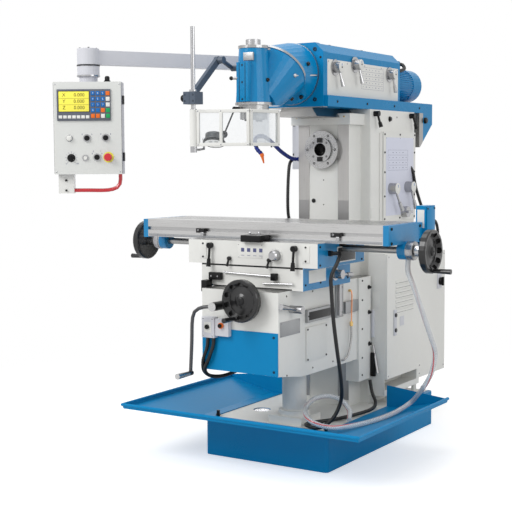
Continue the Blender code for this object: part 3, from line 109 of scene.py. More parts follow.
class MillFittings(bpy.types.PropertyGroup):
    """Sizes of the small fittings."""
    screw_head: length_setting("Screw head", "Head diameter of a cover screw", 0.010)
    conduit_radius: length_setting("Conduit", "Radius of the black conduits", 0.009)
    graduation: length_setting("Graduation", "Width of a scale line", 0.0008)
    louvres: IntProperty(name="Louvres", description="Slots in the cabinet door", default=7, min=1)
    fins: IntProperty(name="Fins", description="Cooling fins round the ram motor", default=44,
                      min=8)


class MillStage(bpy.types.PropertyGroup):
    """Camera, lamps and floor."""
    lens: FloatProperty(name="Lens", description="Focal length", default=79.92, unit="CAMERA")
    eye: FloatVectorProperty(name="Camera place", description="Where the camera stands", size=3,
                             subtype="TRANSLATION", unit="LENGTH",
                             default=(2.9146, -5.1882, 1.4718))
    turn: FloatProperty(name="Turn", description="Camera turn about the vertical",
                        default=math.radians(32.81), subtype="ANGLE")
    fall: FloatProperty(name="Fall", description="How far the camera looks down",
                        default=math.radians(4.826), subtype="ANGLE")
    roll: FloatProperty(name="Roll", description="Camera roll", default=math.radians(0.343),
                        subtype="ANGLE")
    key: FloatProperty(name="Key lamp", description="Power of the main lamp", default=205,
                       unit="POWER")
    fill: FloatProperty(name="Fill lamp", description="Power of the side lamp", default=60,
                        unit="POWER")
    sky: FloatProperty(name="Room light", description="Strength of the even room light",
                       default=0.60, min=0)
    fade_start: length_setting("Fade start", "Where the floor begins to clear", 1.6)
    fade_length: length_setting("Fade length", "How far the floor takes to clear", 1.4)
    floor: colour_setting("Floor", "Pale studio floor", 226, 226, 226)


def colours():
    """The colour settings."""
    return bpy.context.scene.mill_colours


def fittings():
    """The fitting sizes."""
    return bpy.context.scene.mill_fittings


# ---- shader building

class Value:
    """A number in a material; arithmetic on it adds the Math nodes that work it out."""

    def __init__(self, finish, socket):
        self.finish, self.socket = finish, socket

    def maths(self, operation, *others, clamp=False):
        """The result of one Math node on this value and others."""
        node = self.finish.add("ShaderNodeMath", {"operation": operation, "use_clamp": clamp},
                               dict(enumerate((self, *others))))
        return Value(self.finish, node.outputs[0])

    def __add__(self, other):
        return self.maths("ADD", other)

    def __sub__(self, other):
        return self.maths("SUBTRACT", other)

    def __rsub__(self, other):
        return (self * -1) + other

    def __mul__(self, other):
        return self.maths("MULTIPLY", other)

    def __truediv__(self, other):
        return self.maths("DIVIDE", other)

    def __gt__(self, other):
        return self.maths("GREATER_THAN", other)

    def __lt__(self, other):
        return self.maths("LESS_THAN", other)

    def __abs__(self):
        return self.maths("ABSOLUTE")

    __radd__ = __add__
    __rmul__ = __mul__


class Finish:
    """One material, or the world, while its nodes are being put together."""

    def __init__(self, name, world=None):
        self.name = name
        self.material = world or bpy.data.materials.new(name)
        self.material.use_nodes = True
        self.tree = self.material.node_tree
        self.tree.nodes.clear()
        self.places = self.add("ShaderNodeTexCoord").outputs["Object"]
        split = self.add("ShaderNodeSeparateXYZ", {}, {0: self.places})
        self.x, self.y, self.z = (Value(self, s) for s in split.outputs)

    def add(self, kind, settings=None, inputs=None):
        """A node of one kind, its settings made first, then its sockets' values and links."""
        node = self.tree.nodes.new(kind)
        for key, value in (settings or {}).items():
            setattr(node, key, value)
        for key, value in (inputs or {}).items():
            socket = node.inputs[key]
            value = value.socket if isinstance(value, Value) else value
            if isinstance(value, bpy.types.NodeSocket):
                self.tree.links.new(value, socket)
            elif socket.type == "RGBA" and len(value) == 3:
                socket.default_value = (*value, 1)
            else:
                socket.default_value = value
        return node

    def laid(self):
        """How far round and how far along a tube a point lies."""
        lay = self.add("ShaderNodeUVMap", {"uv_map": "lay"}).outputs[0]
        split = self.add("ShaderNodeSeparateXYZ", {}, {0: lay})
        return Value(self, split.outputs[0]), Value(self, split.outputs[1])

    def vector(self, operation, first, second=None, output=0):
        """The result of one Vector Math node."""
        inputs = {0: first} if second is None else {0: first, 1: second}
        return self.add("ShaderNodeVectorMath", {"operation": operation}, inputs).outputs[output]

    def noise(self, scale, detail=2.0, stretch=(1, 1, 1), roughness=0.5, warp=0.0):
        """Cloudy noise from 0 to 1, stretched along the axes whose factor is small."""
        place = self.vector("MULTIPLY", self.places, stretch)
        node = self.add("ShaderNodeTexNoise", {}, {"Vector": place, "Scale": scale,
                                                   "Detail": detail, "Roughness": roughness,
                                                   "Distortion": warp})
        return Value(self, node.outputs["Fac"])

    def blend(self, factor, first, second):
        """A colour between two colours."""
        node = self.add("ShaderNodeMix", {"data_type": "RGBA"}, {0: factor, 6: first, 7: second})
        return node.outputs[2]

    def zone(self, low, high):
        """1 inside a box of the frame's space and 0 outside; None leaves a side open."""
        mask = None
        for axis, a, b in zip((self.x, self.y, self.z), low, high):
            for limit, test in ((a, "__gt__"), (b, "__lt__")):
                if limit is not None:
                    part = getattr(axis, test)(limit)
                    mask = part if mask is None else mask * part
        return mask

    def along(self, place, direction):
        """How far a point lies along a direction from a place."""
        gap = self.vector("SUBTRACT", self.places, place)
        return Value(self, self.vector("DOT_PRODUCT", gap, direction, "Value"))

    def from_axis(self, place, direction):
        """How far a point lies from an axis."""
        cross = self.vector("CROSS_PRODUCT", self.vector("SUBTRACT", self.places, place), direction)
        return Value(self, self.vector("LENGTH", cross, output="Value"))

    def close(self, coat, **fixed):
        """Join a coat to the shader and the output; fixed values go on the shader's sockets."""
        colour, metallic, roughness, height, depth = coat
        inputs = {"Base Color": colour, "Metallic": metallic, "Roughness": roughness}
        if height is not None:
            inputs["Normal"] = self.add("ShaderNodeBump", {}, {
                "Height": height, "Distance": depth, "Strength": 1.0}).outputs[0]
        inputs.update({key.replace("_", " "): value for key, value in fixed.items()})
        shader = self.add("ShaderNodeBsdfPrincipled", {}, inputs)
        self.done(shader)

    def done(self, shader):
        """Put a shader on the output, and keep the material under its name."""
        self.add("ShaderNodeOutputMaterial", {}, {"Surface": shader.outputs[0]})
        FINISHES[self.name] = self.material

    def cover(self, coat, *nodes, **fixed):
        """Close the material and dress CAD nodes in it: those named, or the one of its own name."""
        self.close(coat, **fixed)
        for node in nodes or (self.name,):
            dress(node, self.name)

    def over(self, mask, top, below):
        """One coat over another where the mask is 1."""
        keep = 1 - mask
        height = None
        if top[3] is not None and below[3] is not None:
            height = top[3] * mask + below[3] * keep
        return (self.blend(mask, below[0], top[0]), top[1] * mask + below[1] * keep,
                top[2] * mask + below[2] * keep, height, below[4])


def enamel(f, colour, gloss=0.30, cast=0.0):
    """Sprayed enamel: slight cloudiness, fine orange peel and, on castings, a soft unevenness."""
    cloud = f.noise(2.4, 3)
    fine = f.noise(34, 2)
    pale = tuple(min(1, c * 1.05 + 0.004) for c in colour)
    deep = tuple(c * 0.90 for c in colour)
    shade = f.blend(cloud * 0.75 + fine * 0.25, deep, pale)
    peel = f.noise(260, 1)
    height = peel * 0.10 + fine * (0.25 + cast)
    return shade, 0.0, cloud * 0.10 + peel * 0.04 + (gloss - 0.06), height, 0.0009


def ground(f, stretch=(0.02, 1, 1), rough=0.26, colour=(0.44, 0.435, 0.425)):
    """Ground steel: fine streaks along the stroke of the wheel and faint oil clouds."""
    streak = f.noise(420, 2, stretch)
    broad = f.noise(22, 2, stretch)
    cloud = f.noise(5, 3)
    dark = tuple(c * 0.60 for c in colour)
    shade = f.blend(streak * 0.45 + broad * 0.30 + cloud * 0.25, dark, colour)
    return shade, 1.0, streak * 0.16 + cloud * 0.10 + (rough - 0.10), streak * 0.25, 0.0004


def chrome(f, rough=0.10, colour=(0.50, 0.50, 0.51)):
    """Bright plated steel with faint handling marks."""
    smear = f.noise(30, 3)
    grain = f.noise(300, 1)
    shade = f.blend(smear, tuple(c * 0.88 for c in colour), colour)
    return shade, 1.0, smear * 0.12 + (rough - 0.04), grain * 0.05, 0.0003


def blackened(f, colour):
    """Oiled black steel, uneven and slightly marked by wear."""
    wear = f.noise(60, 3)
    grain = f.noise(420, 1)
    shade = f.blend(wear, tuple(c * 0.7 for c in colour), tuple(c * 1.9 + 0.008 for c in colour))
    return shade, 0.35, wear * 0.22 + 0.24, grain * 0.2, 0.0005


def moulded(f, colour, rough=0.34, grain=0.30):
    """Moulded plastic or rubber with a fine spark texture."""
    spark = f.noise(520, 2)
    cloud = f.noise(9, 2)
    shade = f.blend(cloud, tuple(c * 0.86 for c in colour), tuple(c * 1.10 + 0.003 for c in colour))
    return shade, 0.0, spark * 0.12 + cloud * 0.08 + (rough - 0.10), spark * grain, 0.0005


def brushed(f, colour, direction):
    """Brushed sheet, its lines along a level direction."""
    across = f.along((0, 0, 0), direction)
    place = f.add("ShaderNodeCombineXYZ", {}, {0: across * 0.03, 1: f.z, 2: 0.0}).outputs[0]
    node = f.add("ShaderNodeTexNoise", {}, {"Vector": place, "Scale": 700, "Detail": 2})
    line = Value(f, node.outputs["Fac"])
    cloud = f.noise(4, 2)
    shade = f.blend(line * 0.6 + cloud * 0.4, tuple(c * 0.90 for c in colour), colour)
    return shade, 0.35, line * 0.20 + cloud * 0.08 + 0.24, line * 0.3, 0.0003


# ---- mesh building

def facing(place, out, up=Z):
    """A frame on a surface: right, up and out of it, with its middle at a place."""
    out = Vector(out).normalized()
    right = Vector(up).cross(out).normalized()
    up = out.cross(right)
    return Matrix.Translation(Vector(place)) @ Matrix((right, up, out)).transposed().to_4x4()


def circle(radius, count, phase=0.0):
    """Points round a circle."""
    return [(radius * math.cos(phase + math.tau * i / count),
             radius * math.sin(phase + math.tau * i / count)) for i in range(count)]


def spline(points, spacing):
    """Points at even steps along a smooth curve through the given points."""
    points = [Vector(p) for p in points]
    dense = []
    padded = [2 * points[0] - points[1], *points, 2 * points[-1] - points[-2]]
    for a, b, c, d in zip(padded, padded[1:], padded[2:], padded[3:]):
        for i in range(24):
            t = i / 24
            dense.append(0.5 * (2 * b + (c - a) * t + (2 * a - 5 * b + 4 * c - d) * t ** 2
                                + (3 * b - a - 3 * c + d) * t ** 3))
    dense.append(points[-1])
    lengths = [0.0]
    for a, b in zip(dense, dense[1:]):
        lengths.append(lengths[-1] + (b - a).length)
    count = max(2, round(lengths[-1] / spacing))
    route, at = [], 0
    for i in range(count + 1):
        wanted = lengths[-1] * i / count
        while at < len(dense) - 2 and lengths[at + 1] < wanted:
            at += 1
        share = (wanted - lengths[at]) / max(1e-9, lengths[at + 1] - lengths[at])
        route.append(dense[at].lerp(dense[at + 1], min(1.0, share)))
    return route


def place_object(name, data):
    """An object with its data, in the scene."""
    obj = bpy.data.objects.new(name, data)
    bpy.context.scene.collection.objects.link(obj)
    return obj


class Shape:
    """The mesh of one piece, gathered from closed forms that each have a finish."""

    def __init__(self, at=None):
        self.mesh = bmesh.new()
        self.lay = self.mesh.loops.layers.uv.new("lay")
        self.finishes = []
        self.at = at or Matrix.Identity(4)

    def _index(self, finish):
        if finish not in self.finishes:
            self.finishes.append(finish)
        return self.finishes.index(finish)

    @contextmanager
    def moved(self, move):
        """Work in a frame moved from the present one."""
        kept, self.at = self.at, self.at @ move
        yield
        self.at = kept

    def loops(self, rings, finish, smooth=True, lay=None):
        """A closed form through rings of equal point counts, capped at both ends."""
        index = self._index(finish)
        rows = [[self.mesh.verts.new(self.at @ Vector(p)) for p in ring] for ring in rings]
        count = len(rows[0])
        for k, (low, high) in enumerate(zip(rows, rows[1:])):
            for i in range(count):
                j = (i + 1) % count
                face = self.mesh.faces.new((low[i], low[j], high[j], high[i]))
                face.material_index, face.smooth = index, smooth
                if lay:
                    for loop, (n, m) in zip(face.loops, ((i, k), (i + 1, k), (i + 1, k + 1),
                                                         (i, k + 1))):
                        loop[self.lay].uv = (n / count, lay[m])
        for row in (rows[0][::-1], rows[-1]):
            self.mesh.faces.new(row).material_index = index
        return self

    def block(self, low, high, finish, ease=0.001):
        """A block with its edges eased."""
        index = self._index(finish)
        low, high = Vector(low), Vector(high)
        ease = min(ease, *((b - a) * 0.45 for a, b in zip(low, high)))
        part = bmesh.new()
        made = bmesh.ops.create_cube(part, size=1.0)
        middle, span = (low + high) / 2, high - low
        for vert in made["verts"]:
            vert.co = middle + Vector(c * s for c, s in zip(vert.co, span))
        if ease > 0:
            bmesh.ops.bevel(part, geom=part.edges[:], offset=ease, segments=2, profile=0.6,
                            affect="EDGES")
        for face in part.faces:
            face.material_index = index
            face.smooth = True
        self._merge(part)
        return self

    def prism(self, outline, low, high, finish, ease=0.0006):
        """A flat outline in the shape's own frame, thick from low to high along its out axis."""
        middle = Vector((sum(p[0] for p in outline), sum(p[1] for p in outline))) / len(outline)
        inner = [middle + (Vector(p) - middle) * (1 - ease / max(0.002, (Vector(p) - middle).length))
                 for p in outline]
        rings = [[(*p, low) for p in outline], [(*p, high - ease) for p in outline],
                 [(*p, high) for p in inner]]
        return self.loops(rings, finish, smooth=False)

    def turned(self, profile, finish, sides=28, at=None):
        """A turned form: radius and height pairs round the out axis of a frame."""
        rings = [[(x, y, height) for x, y in circle(max(radius, 1e-5), sides)]
                 for radius, height in profile]
        with self.moved(at or Matrix.Identity(4)):
            return self.loops(rings, finish)

    def sleeve(self, place, low, high, inner, outer, finish, sides=28):
        """A round ring with an open bore, standing along the frame's out axis."""
        index = self._index(finish)
        move = self.at @ Matrix.Translation(Vector(place))
        rows = [[self.mesh.verts.new(move @ Vector((x, y, height))) for x, y in circle(radius, sides)]
                for radius, height in ((inner, low), (outer, low), (outer, high), (inner, high))]
        for near, far in zip(rows, rows[1:] + rows[:1]):
            for i in range(sides):
                j = (i + 1) % sides
                face = self.mesh.faces.new((near[i], near[j], far[j], far[i]))
                face.material_index, face.smooth = index, True
        return self

    def bar(self, start, end, radius, finish, tip=None, sides=16, ease=0.0008):
        """A round bar or taper between two points, its ends eased."""
        start, end = Vector(start), Vector(end)
        tip = radius if tip is None else tip
        length = (end - start).length
        side = X if abs((end - start).normalized().z) > 0.9 else Z
        frame_here = facing(start, end - start, side)
        ease = min(ease, length * 0.3, radius * 0.4, tip * 0.4)
        return self.turned([(radius - ease, 0), (radius, ease), (tip, length - ease),
                            (tip - ease, length)], finish, sides, frame_here)

    def ball(self, place, radius, finish, sides=18):
        """A round ball."""
        steps = sides // 2
        profile = [(radius * math.sin(math.pi * i / steps), -radius * math.cos(math.pi * i / steps))
                   for i in range(steps + 1)]
        return self.turned(profile, finish, sides, Matrix.Translation(Vector(place)))

    def tube(self, points, radius, finish, sides=12, swell=None):
        """A round tube along points; swell gives each point's own radius."""
        points = [Vector(p) for p in points]
        side = None
        rings, run = [], [0.0]
        for i, point in enumerate(points):
            ahead = points[min(i + 1, len(points) - 1)] - points[max(i - 1, 0)]
            ahead.normalize()
            if side is None:
                side = ahead.orthogonal().normalized()
            side = (side - ahead * side.dot(ahead)).normalized()
            other = ahead.cross(side)
            size = swell[i] if swell else radius
            rings.append([point + side * a + other * b for a, b in circle(size, sides)])
            if i:
                run.append(run[-1] + (point - points[i - 1]).length)
        return self.loops(rings, finish, lay=run)

    def conduit(self, points, spacing, sides, low, high=1.0):
        """A ribbed black conduit through points; its rings take the two sizes in turn."""
        route, radius = spline(points, spacing), fittings().conduit_radius
        return self.tube(route, radius, "rubber", sides,
                         [radius * (high if i % 2 else low) for i in range(len(route))])

    def socket_screw(self, place, size, out=Z, up=Y, high=None, finish="blackened"):
        """A socket-head screw: a round head with a hexagon pocket."""
        high = size * 0.55 if high is None else high
        hexagon = []
        for i in range(18):
            angle = math.tau * i / 18
            reach = size * 0.27 * math.cos(math.pi / 6) / math.cos(
                (angle + math.pi / 6) % (math.pi / 3) - math.pi / 6)
            hexagon.append((reach * math.cos(angle), reach * math.sin(angle)))
        rim = size / 2
        rings = [[(*p, -0.0005) for p in circle(rim, 18)],
                 [(*p, high - size * 0.06) for p in circle(rim, 18)],
                 [(*p, high) for p in circle(rim * 0.90, 18)],
                 [(*p, high) for p in hexagon],
                 [(*p, high - size * 0.32) for p in hexagon]]
        with self.moved(facing(place, out, up)):
            return self.loops(rings, finish, smooth=False)

    def pan_screw(self, place, size, out=Z, up=Y, finish="satin_chrome"):
        """A low domed screw with a dimple in its head."""
        rim = size / 2
        rings = [[(*p, height) for p in circle(radius, 16)] for radius, height in (
            (rim, -0.0004), (rim, size * 0.10), (rim * 0.72, size * 0.24),
            (rim * 0.34, size * 0.27), (rim * 0.16, size * 0.12))]
        with self.moved(facing(place, out, up)):
            return self.loops(rings, finish)

    def hex_screw(self, place, size, finish, out=Z, up=Y):
        """A hexagon-head bolt on a washer."""
        rings = [[(*p, height) for p in circle(radius, 6)] for radius, height in (
            (size * 0.57, size * 0.10), (size * 0.57, size * 0.46), (size * 0.48, size * 0.52))]
        with self.moved(facing(place, out, up)):
            self.turned([(size * 0.72, -0.0004), (size * 0.72, size * 0.10), (size * 0.6, size * 0.11)],
                        finish, 20)
            return self.loops(rings, finish, smooth=False)

    def _merge(self, part):
        part.transform(self.at)
        bmesh.ops.recalc_face_normals(part, faces=part.faces[:])
        temporary = bpy.data.meshes.new("part")
        part.to_mesh(temporary)
        part.free()
        self.mesh.from_mesh(temporary)
        bpy.data.meshes.remove(temporary)

    def ready(self, name, body, slot=None):
        """The finished piece as an object that rides on a body."""
        bmesh.ops.recalc_face_normals(self.mesh, faces=self.mesh.faces[:])
        data = bpy.data.meshes.new(name)
        self.mesh.to_mesh(data)
        self.mesh.free()
        data.set_sharp_from_angle(angle=PIECE_EDGE)
        for finish in self.finishes:
            data.materials.append(FINISHES[finish])
        obj = place_object(name, data)
        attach(obj, body)
        return obj


def lettering(name, text, size, at, finish, body):
    """Flat generic figures lying on a surface."""
    curve = bpy.data.curves.new(name, "FONT")
    curve.body, curve.size, curve.extrude = text, size, 0.0002
    curve.align_x = curve.align_y = "CENTER"
    curve.resolution_u = 3
    curve.materials.append(FINISHES[finish])
    obj = place_object(name, curve)
    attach(obj, body)
    obj.matrix_basis = at


def dress(node, *finishes):
    """Give a CAD node its finish."""
    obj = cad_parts[node]
    obj.data.materials.clear()
    for finish in finishes:
        obj.data.materials.append(FINISHES[finish])
    obj.data.shade_smooth()
    obj.data.set_sharp_from_angle(angle=CAST_EDGE)
    return obj


class Maker(bpy.types.Operator):
    """Base of the operators that make the machine's pieces."""
    bl_options = {"REGISTER", "UNDO"}

    def execute(self, context):
        self.make()
        return {"FINISHED"}


# ---- finishes

def plain_finishes():
    """The finishes that cover a whole piece."""
    c = colours()

    for name, colour, gloss, cast in (("blue", c.blue, 0.30, 0.0), ("blue_cast", c.blue, 0.26, 0.5),
                                      ("white", c.white, 0.34, 0.0), ("white_cast", c.white, 0.34, 0.4),
                                      ("grey", c.grey, 0.34, 0.0), ("slate", c.slate, 0.36, 0.0),
                                      ("lilac", c.lilac, 0.30, 0.0)):
        f = Finish(name)
        f.close(enamel(f, colour, gloss, cast), Specular_IOR_Level=PAINT_SHINE)
    # The near-black glossy finish listed last is real dark glass on the display and on the saddle's side,
    # and painted shade where it fills the cabinet's louvre gaps, the strainer's drain hole and the saddle's
    # front seams.
    for name, colour, rough in (("black_plastic", c.black, 0.34), ("red", c.red, 0.24),
                                ("yellow", c.yellow, 0.30), ("key_blue", c.key_blue, 0.34),
                                ("orange", c.orange, 0.32), ("green", c.green, 0.34),
                                ("hose_blue", c.hose_blue, 0.26), ("ink", c.ink, 0.45),
                                ("key_white", c.white, 0.30), ("panel_grey", (0.12, 0.13, 0.16), 0.32),
                                ("dark_glass_and_painted_shade", (0.010, 0.010, 0.012), 0.12)):
        f = Finish(name)
        f.close(moulded(f, colour, rough), Specular_IOR_Level=PLASTIC_SHINE)
    for name, coat, numbers in (
            ("blackened", blackened, (c.black,)), ("chrome", chrome, ()),
            ("satin_chrome", chrome, (0.22, (0.44, 0.44, 0.45))),
            ("brass", chrome, (0.20, (0.72, 0.50, 0.20))),
            ("copper", chrome, (0.22, (0.78, 0.36, 0.20))),
            ("ground_x", ground, ((0.02, 1, 1),)),
            ("ground_z", ground, ((1, 1, 0.02),)),
            ("aluminium", ground, ((0.06, 1, 0.4), 0.36, (0.42, 0.43, 0.44)))):
        f = Finish(name)
        f.close(coat(f, *numbers))
    f = Finish("glow")
    f.close(moulded(f, (0.9, 0.9, 0.88), 0.2, 0.1), Emission_Color=(1, 1, 1, 1),
         Emission_Strength=0.25)


def pane_finish():
    """Clear polycarbonate with faint scuffs: mostly see-through, with a glossy face."""
    f = Finish("pane")
    scuff = f.noise(55, 4)
    clear = f.add("ShaderNodeBsdfTransparent", {}, {"Color": (0.985, 0.99, 0.992, 1)})
    shell = f.add("ShaderNodeBsdfPrincipled", {}, {
        "Base Color": (0.80, 0.83, 0.86, 1), "Roughness": scuff * 0.14 + 0.05})
    mask = f.add("ShaderNodeFresnel", {}, {"IOR": 1.45}).outputs[0]
    share = Value(f, mask) * 0.7 + scuff * 0.06 + 0.015
    mix = f.add("ShaderNodeMixShader", {}, {0: share, 1: clear.outputs[0], 2: shell.outputs[0]})
    f.done(mix)


def hose_finish():
    """Clear reinforced hose: milky wall, crossing white threads and one red tracer."""
    f = Finish("clear_hose")
    around, run = f.laid()
    threads = None
    for sign in (1, -1):
        phase = around * 5 + run * (sign * 95)
        line = phase.maths("FRACT") - 0.5
        band = abs(line) < 0.10
        threads = band if threads is None else threads.maths("MAXIMUM", band)
    tracer = abs((around + run).maths("FRACT") - 0.5) < 0.045
    cloud = f.noise(40, 2)
    wall = f.blend(cloud, (0.60, 0.64, 0.68), (0.74, 0.77, 0.80))
    shade = f.blend(threads, wall, (0.86, 0.86, 0.86))
    shade = f.blend(tracer, shade, (0.62, 0.09, 0.10))
    bump = f.add("ShaderNodeBump", {}, {"Height": threads * 0.6 + cloud * 0.2, "Distance": 0.0006})
    shell = f.add("ShaderNodeBsdfPrincipled", {}, {
        "Base Color": shade, "Roughness": cloud * 0.12 + 0.14, "Normal": bump.outputs[0],
        "Coat Weight": 0.6})
    clear = f.add("ShaderNodeBsdfTransparent", {}, {"Color": (0.92, 0.95, 0.97, 1)})
    share = threads * 0.34 + tracer * 0.34 + cloud * 0.14 + 0.42
    mix = f.add("ShaderNodeMixShader", {}, {0: share.maths("MINIMUM", 1.0), 1: clear.outputs[0],
                                            2: shell.outputs[0]})
    f.done(mix)


def braid_finish():
    """Braided steel sleeve of the thin oil hoses."""
    f = Finish("braid")
    around, run = f.laid()
    one = abs((around * 4 + run * 160).maths("FRACT") - 0.5) < 0.2
    two = abs((around * 4 - run * 160).maths("FRACT") - 0.5) < 0.2
    weave = one.maths("MAXIMUM", two)
    shade = f.blend(weave, (0.16, 0.16, 0.17), (0.58, 0.57, 0.55))
    f.close((shade, weave * 0.7, 0.40 - weave * 0.1, weave, 0.0005))


def screen_finish():
    """Lit yellow screen with faint rows."""
    f = Finish("screen")
    rows = (f.z * 900).maths("SINE")
    glow = tuple(colours().yellow)
    shade = f.blend(rows * 0.1 + 0.5, tuple(x * 0.92 for x in glow), glow)
    f.close((shade, 0.0, f.noise(90, 1) * 0.05 + 0.14, None, 0.001),
                                 Emission_Color=(*glow, 1), Emission_Strength=0.18)


# ---- stage

class MILL_OT_stage(Maker):
    """Camera, lamps, room light and the pale floor"""
    bl_idname = "mill.stage"
    bl_label = "Stage"

    def make(self):
        s = bpy.context.scene.mill_stage
        data = bpy.data.cameras.new("camera")
        data.lens, data.sensor_width, data.clip_end = s.lens, 36.0, 100
        camera = place_object("camera", data)
        camera.matrix_world = (Matrix.Translation(Vector(s.eye)) @ Matrix.Rotation(s.turn, 4, "Z")
                               @ Matrix.Rotation(math.pi / 2 - s.fall, 4, "X")
                               @ Matrix.Rotation(-s.roll, 4, "Z"))
        bpy.context.scene.camera = camera
        for name, place, size, power in (("key", (-2.2, -5.2, 4.6), 3.4, s.key),
                                         ("fill", (5.0, -1.6, 3.0), 3.0, s.fill),
                                         ("top", (0.0, -0.6, 5.4), 3.0, s.fill * 0.9)):
            lamp = bpy.data.lights.new(name, "AREA")
            lamp.size, lamp.energy, lamp.shape = size, power, "DISK"
            holder = place_object(name, lamp)
            holder.location = place
            holder.rotation_euler = (Vector((0, -0.1, 0.95)) - Vector(place)).to_track_quat(
                "-Z", "Y").to_euler()
        self.make_floor(s)
        self.make_room(s)
        bpy.context.scene.view_settings.view_transform = "Standard"

    def make_floor(self, s):
        """A wide pale floor that keeps the shadow, goes to white for the camera and fades out."""
        data = bpy.data.meshes.new("floor")
        half = 14
        data.from_pydata([(-half, -half, -0.0015), (half, -half, -0.0015), (half, half, -0.0015),
                          (-half, half, -0.0015)], [], [(0, 1, 2, 3)])
        floor = place_object("floor", data)
        f = Finish("floor")
        seen = Value(f, f.add("ShaderNodeLightPath").outputs["Is Camera Ray"])
        cloud = f.noise(1.5, 2)
        matt = f.add("ShaderNodeBsdfDiffuse", {}, {"Color": f.blend(
            cloud, tuple(x * 0.97 for x in s.floor), s.floor)})
        lift = f.add("ShaderNodeEmission", {}, {"Color": (1, 1, 1, 1), "Strength": seen * 0.50})
        both = f.add("ShaderNodeAddShader", {}, {0: matt.outputs[0], 1: lift.outputs[0]})
        gap = f.vector("LENGTH", f.places, output="Value")
        fade = ((Value(f, gap) - s.fade_start) / s.fade_length).maths("ADD", 0, clamp=True)
        bare = f.add("ShaderNodeBsdfTransparent")
        edge = f.add("ShaderNodeMixShader", {}, {0: fade, 1: both.outputs[0], 2: bare.outputs[0]})
        f.done(edge)
        data.materials.append(f.material)

    def make_room(self, s):
        """Even room light, white where the camera, metal or clear pieces see it."""
        world = bpy.context.scene.world = bpy.data.worlds.new("room")
        f = Finish("room", world)
        path = f.add("ShaderNodeLightPath").outputs
        seen = (Value(f, path["Is Camera Ray"]) + path["Is Transmission Ray"]).maths(
            "ADD", path["Is Glossy Ray"], clamp=True)
        strength = f.add("ShaderNodeMapRange", {}, {"Value": seen, "To Min": s.sky, "To Max": 1.0})
        back = f.add("ShaderNodeBackground", {}, {"Color": (1, 1, 1, 1),
                                                  "Strength": strength.outputs[0]})
        f.add("ShaderNodeOutputWorld", {}, {"Surface": back.outputs[0]})


# ---- cords

DRAIN_HOSE = [
    (0.700, -0.4725, 1.0140), (0.700, -0.4725, 0.960), (0.720, -0.463, 0.899), (0.730, -0.407, 0.801),
    (0.730, -0.292, 0.647), (0.720, -0.211, 0.553), (0.700, -0.188, 0.470), (0.660, -0.155, 0.402),
    (0.575, -0.080, 0.310), (0.505, -0.040, 0.246), (0.504, -0.254, 0.231), (0.448, -0.460, 0.219),
    (0.372, -0.600, 0.222), (0.277, -0.635, 0.250), (0.194, -0.540, 0.280), (0.191, -0.449, 0.310),
    (0.214, -0.352, 0.310), (0.265, -0.315, 0.290), (0.305, -0.301, 0.240), (0.334, -0.356, 0.205),
]
SADDLE_CABLE = [
    (0.3803, -0.607, 1.040), (0.417, -0.607, 1.040), (0.424, -0.638, 1.004), (0.404, -0.660, 0.940),
    (0.402, -0.656, 0.877), (0.410, -0.651, 0.739), (0.410, -0.617, 0.595), (0.400, -0.560, 0.444),
    (0.378, -0.520, 0.336), (0.345, -0.540, 0.250), (0.290, -0.570, 0.205), (0.215, -0.559, 0.2035),
    (0.190, -0.483, 0.1985), (0.265, -0.322, 0.1985), (0.316, -0.105, 0.204), (0.298, 0.000, 0.220),
    (0.258, 0.040, 0.262), (0.242, 0.045, 0.328),
]


class MILL_OT_cords(Maker):
    """Clear drain hose from the table and black cable from the saddle"""
    bl_idname = "mill.cords"
    bl_label = "Cords"

    def make(self):
        hose_finish()
        f = Finish("rubber")
        f.close(moulded(f, colours().black, 0.48, 0.6))
        for name, points, radius, finish, far, stiff, slot in (
                ("drain_hose_line", DRAIN_HOSE, 0.012, "clear_hose", "bare", "medium",
                 "clear hose"),
                ("saddle_cable_line", SADDLE_CABLE, 0.009, "rubber", "object", "medium",
                 "cable sheath")):
            route = spline(points, 0.012)
            length = sum((b - a).length for a, b in zip(route, route[1:]))
            line = Shape().tube(route, radius, finish, 20).ready(name, "frame", slot)
            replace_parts(line, name[:-5])


# ---- CAD nodes

